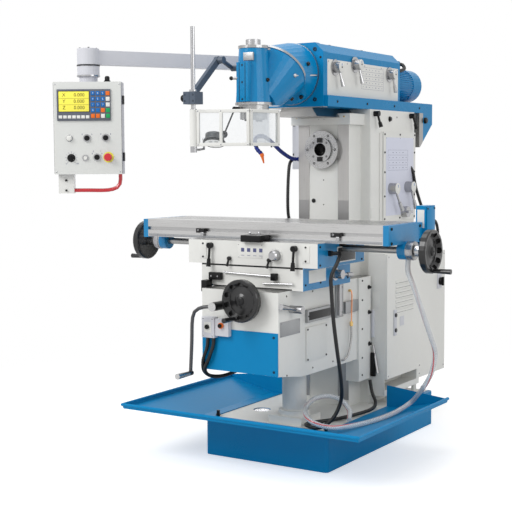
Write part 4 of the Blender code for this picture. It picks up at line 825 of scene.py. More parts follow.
class MILL_OT_castings(Maker):
    """Finishes of the base, column, knee, saddle, table, ram and head"""
    bl_idname = "mill.castings"
    bl_label = "Castings"

    def make(self):
        plain_finishes()
        pane_finish()
        braid_finish()
        screen_finish()
        c = colours()
        blue, white = c.blue, c.white
        self.base(blue, white)
        self.column(white)
        self.knee_and_saddle(blue, white)
        self.table(blue)
        self.spindles()
        self.head(blue)
        for finish, nodes in (
                ("blue", "chip_tray knee_front_cover"),
                ("white", "column_gear_cover column_rear_cover electrical_cabinet cabinet_door"),
                ("blackened", "main_motor"), ("white_cast", "screw_pedestal"),
                ("grey", "pendant_post pendant_arm"), ("slate", "guard_arm"),
                ("blue_cast", "feed_gearbox ram_motor swivel_housing"),
                ("ground_z", "elevating_screw"), ("ground_x", "table_screw"),
                ("panel_grey", "display_unit"), ("key_white", "push_button"),
                ("satin_chrome", "guard_rod speed_lever_front speed_lever_rear shift_knob "
                 "ram_lever_front ram_lever_middle ram_lever_rear knee_clamp_lever feed_lever "
                 "feed_knob"),
                ("black_plastic", "head_lever ram_clamp_front ram_clamp_rear table_clamp_left "
                 "table_clamp_right selector_left selector_right selector_lower speed_dial")):
            for node in nodes.split():
                dress(node, finish)

    def base(self, blue, white):
        """Blue casting whose top is white inside the tray's opening."""
        f = Finish("base_casting")
        coat = f.over(f.zone((-0.322, -0.562, 0.1846), (0.322, None, 0.1875)),
                      enamel(f, white, 0.36, 0.4), enamel(f, blue, 0.28, 0.2))
        f.cover(coat, Specular_IOR_Level=PAINT_SHINE)

    def column(self, white):
        """White casting with two ground slideways and a ground bearing flange."""
        f = Finish("column")
        strips = f.zone((-0.1495, None, 0.22), (0.1495, -0.0142, 1.6495))
        # Painted shade: the slideways are blended 62% towards dark grey from the base up to z 1.262, behind
        # the knee, saddle and table.
        painted_shade_band = f.zone((-0.1495, None, 0.22), (0.1495, -0.0142, 1.262))
        steel = ground(f, (1, 1, 0.02), 0.30, (0.50, 0.49, 0.48))
        ways_with_painted_shade = (f.blend(painted_shade_band * 0.62, steel[0], (0.22, 0.22, 0.225)), *steel[1:])
        ring = f.zone((-0.1, None, 1.42), (0.1, -0.0158, 1.63)) * (
            f.from_axis((0, 0, NOSE_Z), (0, 1, 0)) < 0.0985)
        cast = enamel(f, white, 0.36, 0.45)
        coat = f.over(strips, ways_with_painted_shade, cast)
        turned = ground(f, (1, 1, 1), 0.24, (0.50, 0.50, 0.50))
        f.cover(f.over(ring, turned, coat))

    def knee_and_saddle(self, blue, white):
        """White castings with ground slides; the saddle's right side has blue covers."""
        f = Finish("knee")
        top = f.zone((None, None, 0.8674), (None, None, None))
        side = f.zone((-0.1495, -0.0165, None), (0.1495, None, None))
        coat = f.over(top.maths("MAXIMUM", side), ground(f, (1, 0.02, 1), 0.30),
                      enamel(f, white, 0.36, 0.45))
        f.cover(coat)
        f = Finish("saddle")
        upper = f.zone((0.3612, None, 0.977), (0.3632, None, 1.0905))
        lower = f.zone((0.2842, None, None), (0.2862, None, 0.9763))
        gland = f.zone((0.3632, None, None), (None, None, None))
        slide = f.zone((None, None, 1.0898), (None, None, None))
        coat = f.over(upper.maths("MAXIMUM", lower), enamel(f, blue, 0.28),
                      enamel(f, white, 0.34, 0.25))
        coat = f.over(slide, ground(f, (0.02, 1, 1)), coat)
        coat = f.over(gland, moulded(f, colours().black), coat)
        f.cover(coat)

    def table(self, blue):
        """Ground table; brackets with blue castings and satin graduated dials."""
        f = Finish("table_top")
        steel = ground(f, (0.02, 1, 1), 0.26, (0.66, 0.655, 0.65))
        # Painted shade: below the top face, in the T-slot channels and under the table, the steel is blended
        # 35% towards dark grey.
        painted_slot_shade = f.zone((None, None, None), (None, None, 1.1772)) * f.zone(
            (None, -0.6495, None), (None, -0.2955, None))
        shade = f.blend(painted_slot_shade * 0.35, steel[0], (0.25, 0.25, 0.26))
        f.cover((shade, *steel[1:]), "table")
        f = Finish("table_end")
        bright = ground(f, (1, 1, 1), 0.24, (0.48, 0.48, 0.48))
        dial = abs(f.x) > 0.7008
        f.cover(f.over(dial, bright, enamel(f, blue, 0.28, 0.4)),
                "table_bracket_left", "table_bracket_right")
        f = Finish("wheel")
        base = colours().black
        rim = blackened(f, base)
        steel = chrome(f, 0.18)
        hub = f.from_axis((0, SCREW_Y, SCREW_Z), (1, 0, 0)) < 0.028
        inner = abs(f.x) < 0.7975
        f.cover(f.over(hub * inner, steel, rim), "handwheel_left", "handwheel_right", Coat_Weight=0.5,
                                    Coat_Roughness=0.08)
        f = Finish("cross_wheel")
        hub = (f.from_axis((CROSS_X, 0, CROSS_Z), (0, 1, 0)) < 0.028) * (f.y > -0.8505)
        f.cover(f.over(hub, chrome(f, 0.18), blackened(f, base)), "cross_handwheel",
                                          Coat_Weight=0.5, Coat_Roughness=0.08)
        f = Finish("crank")
        grip = f.y < -0.920
        tube = f.x < -0.104
        satin = ground(f, (1, 1, 0.05), 0.30, (0.12, 0.12, 0.125))
        coat = f.over(tube, satin, blackened(f, base))
        coat = f.over(grip, chrome(f, 0.24, (0.60, 0.60, 0.60)), coat)
        f.cover(coat, "lift_crank")

    def spindles(self):
        """Ground noses with black drive keys."""
        for name, reach in (("horizontal_spindle", (0.0132, -0.0532, None)),
                            ("vertical_spindle", (0.0132, None, 1.6602))):
            f = Finish(name)
            steel = ground(f, (1, 1, 1), 0.20, (0.48, 0.48, 0.48))
            keys = f.zone((-0.0132, None, None), reach)
            f.cover(f.over(keys, blackened(f, colours().black), steel))

    def head(self, blue):
        """Blue head between two bright collars, with a dark bracket for the guard."""
        f = Finish("spindle_head")
        near_sleeve = f.from_axis((0, HEAD_Y, 0), (0, 0, 1)) < 0.0885
        collars = f.zone((None, None, 1.9880), (None, None, 2.0031)).maths(
            "MAXIMUM", f.zone((None, None, None), (None, None, 1.7400)))
        cap = f.zone((-0.045, -0.726, 2.0031), (0.045, -0.636, None))
        bright = ground(f, (1, 1, 1), 0.24, (0.48, 0.48, 0.48))
        coat = f.over(cap, ground(f, (1, 1, 0.2), 0.30, (0.50, 0.50, 0.51)),
                      f.over(collars * near_sleeve, bright, enamel(f, blue, 0.24, 0.6)))
        bracket = f.zone((None, -0.80, 1.885), (-0.0655, -0.655, 1.96))
        coat = f.over(bracket * (1 - (f.from_axis((0, HEAD_Y, 0), (0, 0, 1)) < 0.0865)),
                      enamel(f, colours().slate, 0.36), coat)
        f.cover(coat, Specular_IOR_Level=0.30)
        f = Finish("ram")
        blue_coat = enamel(f, blue, 0.26, 0.3)
        shadow = f.blend((f.z > 1.9943) * 0.12, blue_coat[0], tuple(x * 0.7 for x in blue))
        slide = ground(f, (1, 0.02, 1), 0.30)
        f.cover(f.over(f.zone((None, None, None), (None, 0.79, 1.7309)), slide,
                                         (shadow, *blue_coat[1:])),
                                  Specular_IOR_Level=PAINT_SHINE)
        self.pendant()

    def pendant(self):
        """Brushed front sheet, grey sides; the handle's hanger is white and its rail red."""
        right, out, centre = PENDANT_RIGHT, PENDANT_OUT, PENDANT_MIDDLE
        f = Finish("pendant_box")
        front = f.along(centre, out) > 0.0594
        coat = f.over(front, brushed(f, (0.70, 0.71, 0.69), tuple(right)),
                      enamel(f, (0.40, 0.40, 0.45), 0.36))
        collar = f.z > 1.8592
        coat = f.over(collar, enamel(f, colours().grey, 0.32), coat)
        f.cover(coat)
        f = Finish("pendant_handle")
        rail = f.along(centre, right) > -0.0778
        coat = f.over(rail, moulded(f, colours().red, 0.20, 0.05),
                      enamel(f, colours().white, 0.34))
        f.cover(coat, Coat_Weight=0.4, Coat_Roughness=0.1)
        f = Finish("stop_button")
        f.cover(moulded(f, colours().red, 0.22, 0.1), "emergency_stop",
                                          Coat_Weight=0.3, Coat_Roughness=0.15)


# ---- base, tray and column

def ruled(at, half_u, half_v, rows, columns, name, body):
    """A ruled table of generic marks, printed on a panel."""
    s = Shape(at)
    line = fittings().graduation * 1.1
    for i in range(rows + 1):
        v = -half_v + 2 * half_v * i / rows
        s.block((-half_u, v - line / 2, 0), (half_u, v + line / 2, 0.0002), "ink", 0)
    for u in (-half_u, half_u):
        s.block((u - line / 2, -half_v, 0), (u + line / 2, half_v, 0.0002), "ink", 0)
    step_u, step_v = 2 * half_u / columns, 2 * half_v / rows
    for i in range(rows):
        for j in range(columns):
            if (i, j) in ((rows - 1, 0), (rows - 1, columns - 1)):
                continue
            u, v = -half_u + step_u * (j + 0.5), -half_v + step_v * (i + 0.5)
            wide = 0.0022 + 0.0016 * ((i * 3 + j * 5) % 3)
            s.block((u - wide, v - 0.0016, 0), (u + wide, v + 0.0016, 0.0002), "ink", 0)
    return s.ready(name, body)


def nose_screws(name, body, spot, out, up):
    """Four screws on a spindle's nose; spot turns their two offsets into a place."""
    n = Shape()
    for degrees in (42, 138, 222, 318):
        a = math.radians(degrees)
        n.socket_screw(spot(0.052 * math.cos(a), 0.052 * math.sin(a)), 0.0105, out, up, 0.001)
    n.ready(name, body)


class MILL_OT_base_trim(Maker):
    """Drain plug, levelling bolts, coolant strainer and the tray's joint screws"""
    bl_idname = "mill.base_trim"
    bl_label = "Base trim"

    def make(self):
        s = Shape()
        s.hex_screw((0.349, -0.090, 0.103), 0.020, "brass", X, Z)
        s.turned([(0.017, -0.0005), (0.017, 0.003), (0.014, 0.004)], "blackened",
                 at=facing((0.349, -0.090, 0.103), X))
        for x, y in ((-0.335, -0.585), (0.335, -0.585), (-0.335, 0.585), (0.335, 0.585)):
            s.bar((x * 0.93, y * 0.93, 0.185), (x * 0.93, y * 0.93, 0.216), 0.0085, "blackened")
            s.hex_screw((x * 0.93, y * 0.93, 0.1935), 0.018, "blackened")
        s.ready("base_fittings", "frame")
        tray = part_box("chip_tray")
        t = Shape()
        # Known fault: out and up are parallel in these screws, so they have no area.
        for x in (-0.36, 0.36):
            t.pan_screw((x, tray[1].y - 0.0045, 0.272), fittings().screw_head, -Y)
        for x in (-0.5, -0.2, 0.2, 0.5):
            t.pan_screw((x, tray[1].y - 0.0045, 0.212), 0.008, -Y)
        t.ready("tray_screws", "frame")
        d = Shape(Matrix.Translation((-0.205, -0.300, 0.1795)))
        d.turned([(0.0445, -0.003), (0.0445, 0.002), (0.041, 0.003), (0.039, 0.0015),
                  (0.039, -0.001)], "satin_chrome", 40)
        for i in range(-5, 6):
            reach = math.sqrt(max(0.0, 0.039 ** 2 - (i * 0.007) ** 2))
            d.bar((i * 0.007, -reach, 0), (i * 0.007, reach, 0), 0.0011, "satin_chrome", sides=6)
            d.bar((-reach, i * 0.007, 0.001), (reach, i * 0.007, 0.001), 0.0011, "satin_chrome",
                  sides=6)
        # Painted shade: a near-black disc under the grid stands for the dark of the drain hole.
        d.turned([(0.0405, -0.012), (0.0405, -0.0095), (0.002, -0.0090)], "dark_glass_and_painted_shade", 32)
        d.ready("coolant_strainer", "frame")


class MILL_OT_column_trim(Maker):
    """Spindle flange screws, cover screws, plates, plugs and speed tables of the column"""
    bl_idname = "mill.column_trim"
    bl_label = "Column trim"

    def make(self):
        f = Shape()
        for i in range(6):
            a = math.tau * i / 6
            f.socket_screw((0.081 * math.cos(a), -0.041, NOSE_Z + 0.081 * math.sin(a)), 0.013, -Y, Z, 0.0012)
        f.ready("bearing_screws", "frame")
        nose_screws("spindle_nose_screws", "horizontal_spindle",
                    lambda u, v: (u, -0.053, NOSE_Z + v), -Y, Z)
        self.fronts()
        self.gear_cover()
        self.side_fittings()

    def fronts(self):
        """Blank plate, oil points, plug and tapped holes on the column's front."""
        s = Shape()
        s.at = facing((0.0085, -0.050, 1.678), -Y)
        s.block((-0.018, -0.010, 0), (0.018, 0.010, 0.0012), "key_white", 0.0004)
        for u in (-0.0155, 0.0155):
            s.pan_screw((u, 0, 0.0012), 0.0035)
        s.at = Matrix.Identity(4)
        for x, z in ((0.140, 1.690), (-0.140, 1.690)):
            s.turned([(0.0045, 0), (0.0045, 0.002), (0.003, 0.0035)], "brass", 16,
                     facing((x, -0.050, z), -Y))
        s.turned([(0.011, 0), (0.011, 0.004), (0.009, 0.005), (0.008, 0.0035)], "blackened", 24,
                 facing((-0.060, -0.011, 1.258), -Y))
        # Painted shade: two small black discs stand for the dark inside two tapped holes.
        for z in (1.366, 1.238):
            s.turned([(0.0032, 0), (0.0032, 0.0006)], "blackened", 14,
                     facing((-0.0015, -0.0110, z), -Y))
        s.ready("column_front_fittings", "frame")

    def gear_cover(self):
        """Screws round the gear cover, its printed panel and the ruled speed table."""
        low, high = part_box("column_gear_cover")
        face = high.x
        s = Shape()
        edges_y = (low.y + 0.012, (low.y + high.y) / 2, high.y - 0.012)
        rows = (high.z - 0.014, high.z - 0.110, high.z - 0.215, low.z + 0.135, low.z + 0.014)
        for z in rows:
            for y in (edges_y if z in (rows[0], rows[-1]) else (edges_y[0], edges_y[-1])):
                s.socket_screw((face, y, z), 0.0105, X, Z, 0.003)
        s.ready("gear_cover_screws", "frame")
        p = Shape(facing((face, (low.y + high.y) / 2, (low.z + high.z) / 2), X))
        half_u = (high.y - low.y) / 2 - 0.026
        half_v = (high.z - low.z) / 2 - 0.030
        p.block((-half_u, -half_v, 0), (half_u, half_v, 0.0012), "lilac", 0.0004)
        p.ready("speed_panel", "frame")
        ruled(facing((face + 0.0013, 0.422, 1.467), X), 0.122, 0.054, 4, 6, "speed_table", "frame")
        t = Shape()
        for y in (low.y + 0.030, (low.y + high.y) / 2, high.y - 0.030):
            t.pan_screw((face + 0.0012, y, high.z - 0.034), 0.005, X, Z)
        t.ready("speed_panel_screws", "frame")

    def side_fittings(self):
        """Bolts of the dovetail clamp, the side cover, and blank plates on the column's side."""
        s = Shape()
        s.hex_screw((0.203, 0.345, 1.686), 0.021, "blackened", X, Z)
        s.socket_screw((0.203, 0.434, 1.697), 0.010, X, Z, 0.001)
        s.at = facing((0.203, 0.150, 1.190), X)
        s.block((-0.026, -0.026, 0), (0.026, 0.026, 0.004), "white", 0.0012)
        s.at = facing((0.203, 0.236, 1.379), X)
        s.block((-0.013, -0.235, 0), (0.013, 0.232, 0.006), "white", 0.0015)
        s.at = Matrix.Identity(4)
        s.block((0.2031, 0.119, 0.30), (0.2047, 0.128, 1.64), "white", 0.0005)
        s.ready("column_side_fittings", "frame")
        r = Shape()
        low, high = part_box("column_rear_cover")
        for x in (low.x + 0.014, high.x - 0.014):
            for i in range(6):
                z = low.z + 0.02 + (high.z - low.z - 0.04) * i / 5
                r.pan_screw((x, high.y, z), 0.010, Y, Z)
        r.at = facing(((low.x + high.x) / 2, high.y, 0.62), Y)
        for i in range(9):
            r.block((-0.075, i * 0.018 - 0.075, 0), (0.075, i * 0.018 - 0.066, 0.004), "white", 0.002)
        r.ready("rear_cover_fittings", "frame")


# ---- pendant

class MILL_OT_pendant(Maker):
    """Display with its keys, and the lamp, dials and switches of the control box"""
    bl_idname = "mill.pendant"
    bl_label = "Pendant"

    def make(self):
        face = facing(PENDANT_MIDDLE + PENDANT_OUT * 0.060 - Z * 0.226, PENDANT_OUT)
        self.display(face)
        self.switches(face)
        self.box_trim(face)
        self.arm_trim()

    def display(self, face):
        """Raised frame, lit screen with axis rows, soft keys and the coloured key block."""
        proud = 0.0083
        d = Shape(face)
        d.block((-0.146, 0.264, proud - 0.001), (0.113, 0.413, proud + 0.0012), "panel_grey", 0.0008)
        d.block((-0.1415, 0.304, proud), (0.0125, 0.407, proud + 0.0018), "dark_glass_and_painted_shade", 0.0006)
        d.ready("display_frame", "pendant")
        s = Shape(face)
        s.block((-0.1385, 0.307, proud + 0.001), (0.0095, 0.404, proud + 0.0022), "screen", 0.0003)
        s.ready("display_screen", "pendant")
        top = proud + 0.0022
        for i, axis in enumerate("XYZ"):
            v = 0.387 - i * 0.031
            lettering(f"screen_row_{axis}", f"{axis}      0.000", 0.024,
                      face @ Matrix.Translation((-0.066, v, top)), "black_plastic", "pendant")
        b = Shape(face)
        for i in range(2):
            b.block((-0.137, 0.370 - i * 0.031, top - 0.0002), (0.008, 0.3712 - i * 0.031, top + 0.0001),
                    "black_plastic", 0)
        b.ready("screen_rules", "pendant")
        k = Shape(face)
        for i in range(7):
            u = -0.131 + i * 0.0222
            k.block((u - 0.0088, 0.273, proud), (u + 0.0088, 0.288, proud + 0.0035), "key_white", 0.0012)
        shades = (("key_blue", "key_blue", "key_blue", "orange"),
                  ("key_blue", "key_blue", "key_blue", "key_white"),
                  ("key_blue", "key_blue", "key_blue", "key_white"),
                  ("key_blue", "key_blue", "orange", "green"),
                  ("orange", "orange", "key_white", "green"))
        for row, line in enumerate(shades):
            for column, shade in enumerate(line):
                u, v = 0.0285 + column * 0.0245, 0.395 - row * 0.0275
                k.block((u - 0.0095, v - 0.0100, proud), (u + 0.0095, v + 0.0100, proud + 0.0035),
                        shade, 0.0014)
        k.ready("display_keys", "pendant")
        figures = ("7", "8", "9", "4", "5", "6", "1", "2", "3", "0")
        for i, figure in enumerate(figures):
            row, column = divmod(i, 3)
            lettering(f"key_figure_{figure}", figure, 0.012, face @ Matrix.Translation(
                (0.0285 + column * 0.0245, 0.395 - row * 0.0275, proud + 0.0035)), "key_white",
                "pendant")

    def switches(self, face):
        """Bezels and scales under each switch, a white lamp and the yellow stop ring."""
        r = Shape(face)
        for u, v in ((-0.004, 0.177), (0.088, 0.178), (0.044, 0.083)):
            r.sleeve((u, v, 0), 0.0005, 0.0050, 0.0136, 0.0195, "satin_chrome", 28)
            for side in (-1, 1):
                r.block((u + side * 0.024 - 0.0012, v + 0.015, 0), (u + side * 0.024 + 0.0012, v + 0.022,
                                                                   0.0004), "ink", 0)
        r.sleeve((0.100, 0.083, 0), 0.0, 0.0022, 0.0150, 0.0262, "yellow", 40)
        r.sleeve((0.100, 0.083, 0), 0.0, 0.0120, 0.0090, 0.0155, "blackened", 28)
        r.sleeve((-0.013, 0.080, 0), 0.0, 0.0050, 0.0104, 0.0160, "satin_chrome", 28)
        r.turned([(0.0165, 0), (0.0165, 0.004), (0.0145, 0.006), (0.0138, 0.006)], "satin_chrome", 28,
                 Matrix.Translation((-0.0905, 0.177, 0)))
        r.turned([(0.0135, 0.005), (0.0135, 0.013), (0.011, 0.016), (0.004, 0.0175)], "key_white", 28,
                 Matrix.Translation((-0.0905, 0.177, 0)))
        r.sleeve((-0.083, 0.080, 0), 0.0, 0.0030, 0.0136, 0.0200, "blackened", 28)
        for i in range(11):
            turn = Matrix.Translation((-0.083, 0.080, 0)) @ Matrix.Rotation(
                math.radians(-140 + 28 * i), 4, "Z")
            with r.moved(turn):
                r.block((-0.0006, 0.0235, 0), (0.0006, 0.0300 if i % 5 else 0.0325, 0.0004), "ink", 0)
        r.ready("switch_bezels", "pendant")
        for name, text, u, v in (("dial_low", "0", -0.108, 0.052), ("dial_high", "100", -0.054, 0.052),
                                 ("lower_off", "0", 0.026, 0.112), ("lower_on", "1", 0.062, 0.112)):
            lettering(name, text, 0.010, face @ Matrix.Translation((u, v, 0.0003)), "ink", "pendant")

    def box_trim(self, face):
        """Edge lines, screws, side catches and the cable gland of the control box."""
        low, high = 0.0, 0.452
        t = Shape(face)
        for u, v in product((-0.157, 0.157), (low + 0.012, high - 0.012)):
            t.pan_screw((u, v, 0), 0.0075)
        for v in (0.085, 0.365):
            t.block((0.166, v - 0.022, -0.075), (0.1745, v + 0.022, -0.045), "black_plastic", 0.003)
            t.block((-0.1745, v - 0.022, -0.075), (-0.166, v + 0.022, -0.045), "black_plastic", 0.003)
        for u in (-0.1662, 0.1662):
            t.block((u - 0.0012, 0.004, -0.0040), (u + 0.0012, high - 0.004, -0.0020), "blackened", 0)
        t.at = face @ Matrix.Translation((0.092, high, -0.060)) @ Matrix.Rotation(-math.pi / 2, 4, "X")
        t.turned([(0.0165, 0), (0.0165, 0.008), (0.0125, 0.010), (0.0125, 0.024), (0.009, 0.030),
                  (0.006, 0.031)], "black_plastic", 24)
        t.ready("control_box_trim", "pendant")
        h = Shape(facing(PENDANT_MIDDLE + PENDANT_OUT * 0.0253 - Z * 0.226, PENDANT_OUT))
        for v in (-0.030, -0.080):
            h.socket_screw((-0.116, v, 0), 0.011)
        h.ready("handle_screws", "pendant")

    def arm_trim(self):
        """Sheet joints and screws of the swinging arm and its post."""
        s = Shape()
        place = Vector((PENDANT_X, PENDANT_Y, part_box("pendant_arm")[1].z))
        s.turned([(0.0545, -0.001), (0.0545, 0.003), (0.050, 0.005), (0.012, 0.006)], "grey", 36,
                 Matrix.Translation(place))
        for i in range(4):
            a = math.radians(45 + 90 * i)
            spot = place + Vector((0.040 * math.cos(a), 0.040 * math.sin(a), 0.0052))
            s.socket_screw(spot, 0.009, Z, Y, 0.004)
        s.sleeve((PENDANT_X, PENDANT_Y, 0), 1.887, 1.893, 0.0552, 0.0575, "satin_chrome", 40)
        s.sleeve((PENDANT_X, PENDANT_Y, 0), 1.938, 1.9445, 0.0552, 0.0570, "blackened", 40)
        s.ready("pendant_arm_trim", "pendant_arm")
        p = Shape()
        for z, x in product((1.50, 1.66), (-0.285, -0.240)):
            p.socket_screw((x, 0.168, z), 0.013, -Y, Z)
        p.sleeve((-0.262, 0.203, 0), 1.924, 1.9395, 0.0455, 0.0500, "satin_chrome", 32)
        p.ready("pendant_post_trim", "frame")


# ---- chip guard, lamp and coolant hose

class MILL_OT_guard(Maker):
    """Chip guard with clear panes, its clamp screws, the work lamp and the coolant hose"""
    bl_idname = "mill.guard"
    bl_label = "Chip guard"

    ROD = Vector((-0.121, -0.995))
    LOW, HIGH, THICK, RAIL = 1.535, 1.700, 0.016, 0.015

    def make(self):
        start, corner, end = (Vector(p) for p in ((-0.106, -0.9895), (0.120, -0.900), (0.158, -0.715)))
        s = Shape()
        s.sleeve((*self.ROD, 0), self.LOW, self.HIGH, 0.0108, 0.0165, "white", 28)
        for z in (self.LOW, self.HIGH):
            s.sleeve((*self.ROD, 0), z - 0.003, z + 0.003, 0.0108, 0.0150, "satin_chrome", 28)
        self.wall(s, start, corner, (0.0, 0.46, 1.0))
        self.wall(s, corner, end, (0.0, 1.0))
        for u in (0.25, 0.75):
            spot = corner.lerp(end, u)
            s.bar((*spot, self.LOW + 0.004), (*spot, self.LOW - 0.006), 0.004, "blackened")
        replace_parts(s.ready("guard_frame", "guard_screen", "white paint"), "guard_screen")
        self.clamp()
        self.lamp()
        self.hose()

    def wall(self, s, a, b, posts):
        """One framed wall: rails, upright posts, a clear pane and its screws."""
        along = (b - a).normalized()
        out = Vector((along.y, -along.x))
        length, tall = (b - a).length, self.HIGH - self.LOW
        s.at = facing((*a, self.LOW), (*out, 0))
        width = 0.013
        for v in (0, tall - self.RAIL):
            s.block((0, v, -self.THICK / 2), (length, v + self.RAIL, self.THICK / 2), "white", 0.0015)
        for share in posts:
            u = share * (length - width)
            s.block((u, 0.002, -self.THICK / 2 - 0.0006),
                    (u + width, tall - 0.002, self.THICK / 2 + 0.0006), "white", 0.0015)
            for v in (0.0075, tall - 0.0075):
                s.pan_screw((u + width / 2, v, self.THICK / 2 + 0.0006), 0.007)
        s.block((0.004, 0.010, -0.002), (length - 0.004, tall - 0.010, 0.002), "pane",
                0.0004)
        s.at = Matrix.Identity(4)

    def clamp(self):
        """Screws, split line and thumb knob of the guard's clamp, and collar of the rod."""
        low, high = Vector((-0.155, -1.025, 1.724)), Vector((-0.091, -0.961, 1.780))
        s = Shape()
        for z, x in product((1.738, 1.766), (-0.146, -0.101)):
            s.socket_screw((x, low.y + 0.0012, z), 0.0095, -Y, Z, 0.0012)
        # Painted shade: a thin black strip stands for the dark in the clamp's split.
        s.block((-0.1225, low.y, low.z + 0.002), (-0.1195, low.y + 0.001, high.z - 0.002),
                "blackened", 0)
        s.turned([(0.007, 0), (0.007, 0.010), (0.016, 0.012), (0.017, 0.022), (0.014, 0.027),
                  (0.002, 0.028)], "black_plastic", 14, facing((low.x, -0.995, 1.752), -X))
        s.ready("guard_clamp_screws", "guard_arm")
        k = Shape()
        k.sleeve((*self.ROD, 0), 1.7805, 1.790, 0.0102, 0.0170, "satin_chrome", 28)
        k.ready("guard_rod_collar", "guard_rod")

    def lamp(self):
        """Finned work lamp with a black bezel and a bright face."""
        centre, out = Vector((-0.068, -0.905, 1.568)), Vector((0.15, -0.35, -0.92)).normalized()
        s = Shape(facing(centre - out * 0.026, out))
        profile = [(0.030, 0.0), (0.036, 0.002)]
        for i in range(5):
            height = 0.005 + i * 0.0062
            profile += [(0.036, height), (0.044, height + 0.0006), (0.044, height + 0.0026),
                        (0.036, height + 0.0032)]
        profile += [(0.046, 0.0375), (0.0495, 0.039), (0.0500, 0.046), (0.0470, 0.048),
                    (0.0440, 0.0462), (0.0435, 0.0455)]
        s.turned(profile, "aluminium", 44)
        s.turned([(0.0505, 0.0385), (0.0508, 0.0465), (0.0478, 0.0492), (0.0455, 0.0478)],
                 "black_plastic", 44)
        s.turned([(0.0448, 0.0455), (0.0448, 0.0478), (0.043, 0.0482)], "glow", 40)
        for i in range(7):
            a = math.tau * i / 6
            reach = 0.026 if i < 6 else 0
            s.turned([(0.0085, 0.0478), (0.0085, 0.0490), (0.006, 0.0502), (0.002, 0.0506)],
                     "key_white", 16, Matrix.Translation((reach * math.cos(a), reach * math.sin(a), 0)))
        s.at = Matrix.Identity(4)
        s.bar((-0.1197, -0.905, 1.568), (-0.100, -0.905, 1.568), 0.0060, "satin_chrome")
        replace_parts(s.ready("lamp_head", "work_lamp", "lamp body"), "work_lamp")

    def hose(self):
        """Finely ribbed coolant hose with an orange nozzle."""
        points = [(-0.167, 0.020, 1.475), (-0.185, -0.030, 1.480), (-0.175, -0.150, 1.515),
                  (-0.150, -0.300, 1.570), (-0.135, -0.400, 1.590), (-0.140, -0.450, 1.575),
                  (-0.120, -0.470, 1.530), (-0.090, -0.470, 1.500)]
        route = spline(points, 0.0032)
        links = [0.0082, 0.0098, 0.0105, 0.0105, 0.0098]
        s = Shape()
        s.tube(route, 0.01, "hose_blue", 18, [links[i % 5] for i in range(len(route))])
        tip = Vector(points[-1])
        way = (Vector((0.012, 0, -0.045))).normalized()
        s.bar(tip - way * 0.002, tip + way * 0.012, 0.0105, "orange", 0.0095, 20)
        s.bar(tip + way * 0.010, tip + way * 0.046, 0.0078, "orange", 0.0032, 20)
        s.bar((-0.1494, 0.020, 1.475), (-0.158, 0.020, 1.475), 0.0145, "brass", sides=6)
        s.bar((-0.156, 0.020, 1.475), (-0.172, 0.020, 1.475), 0.0115, "hose_blue", sides=24)
        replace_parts(s.ready("coolant_hose", "frame", "blue plastic"), "coolant_spout")


# ---- ram and head

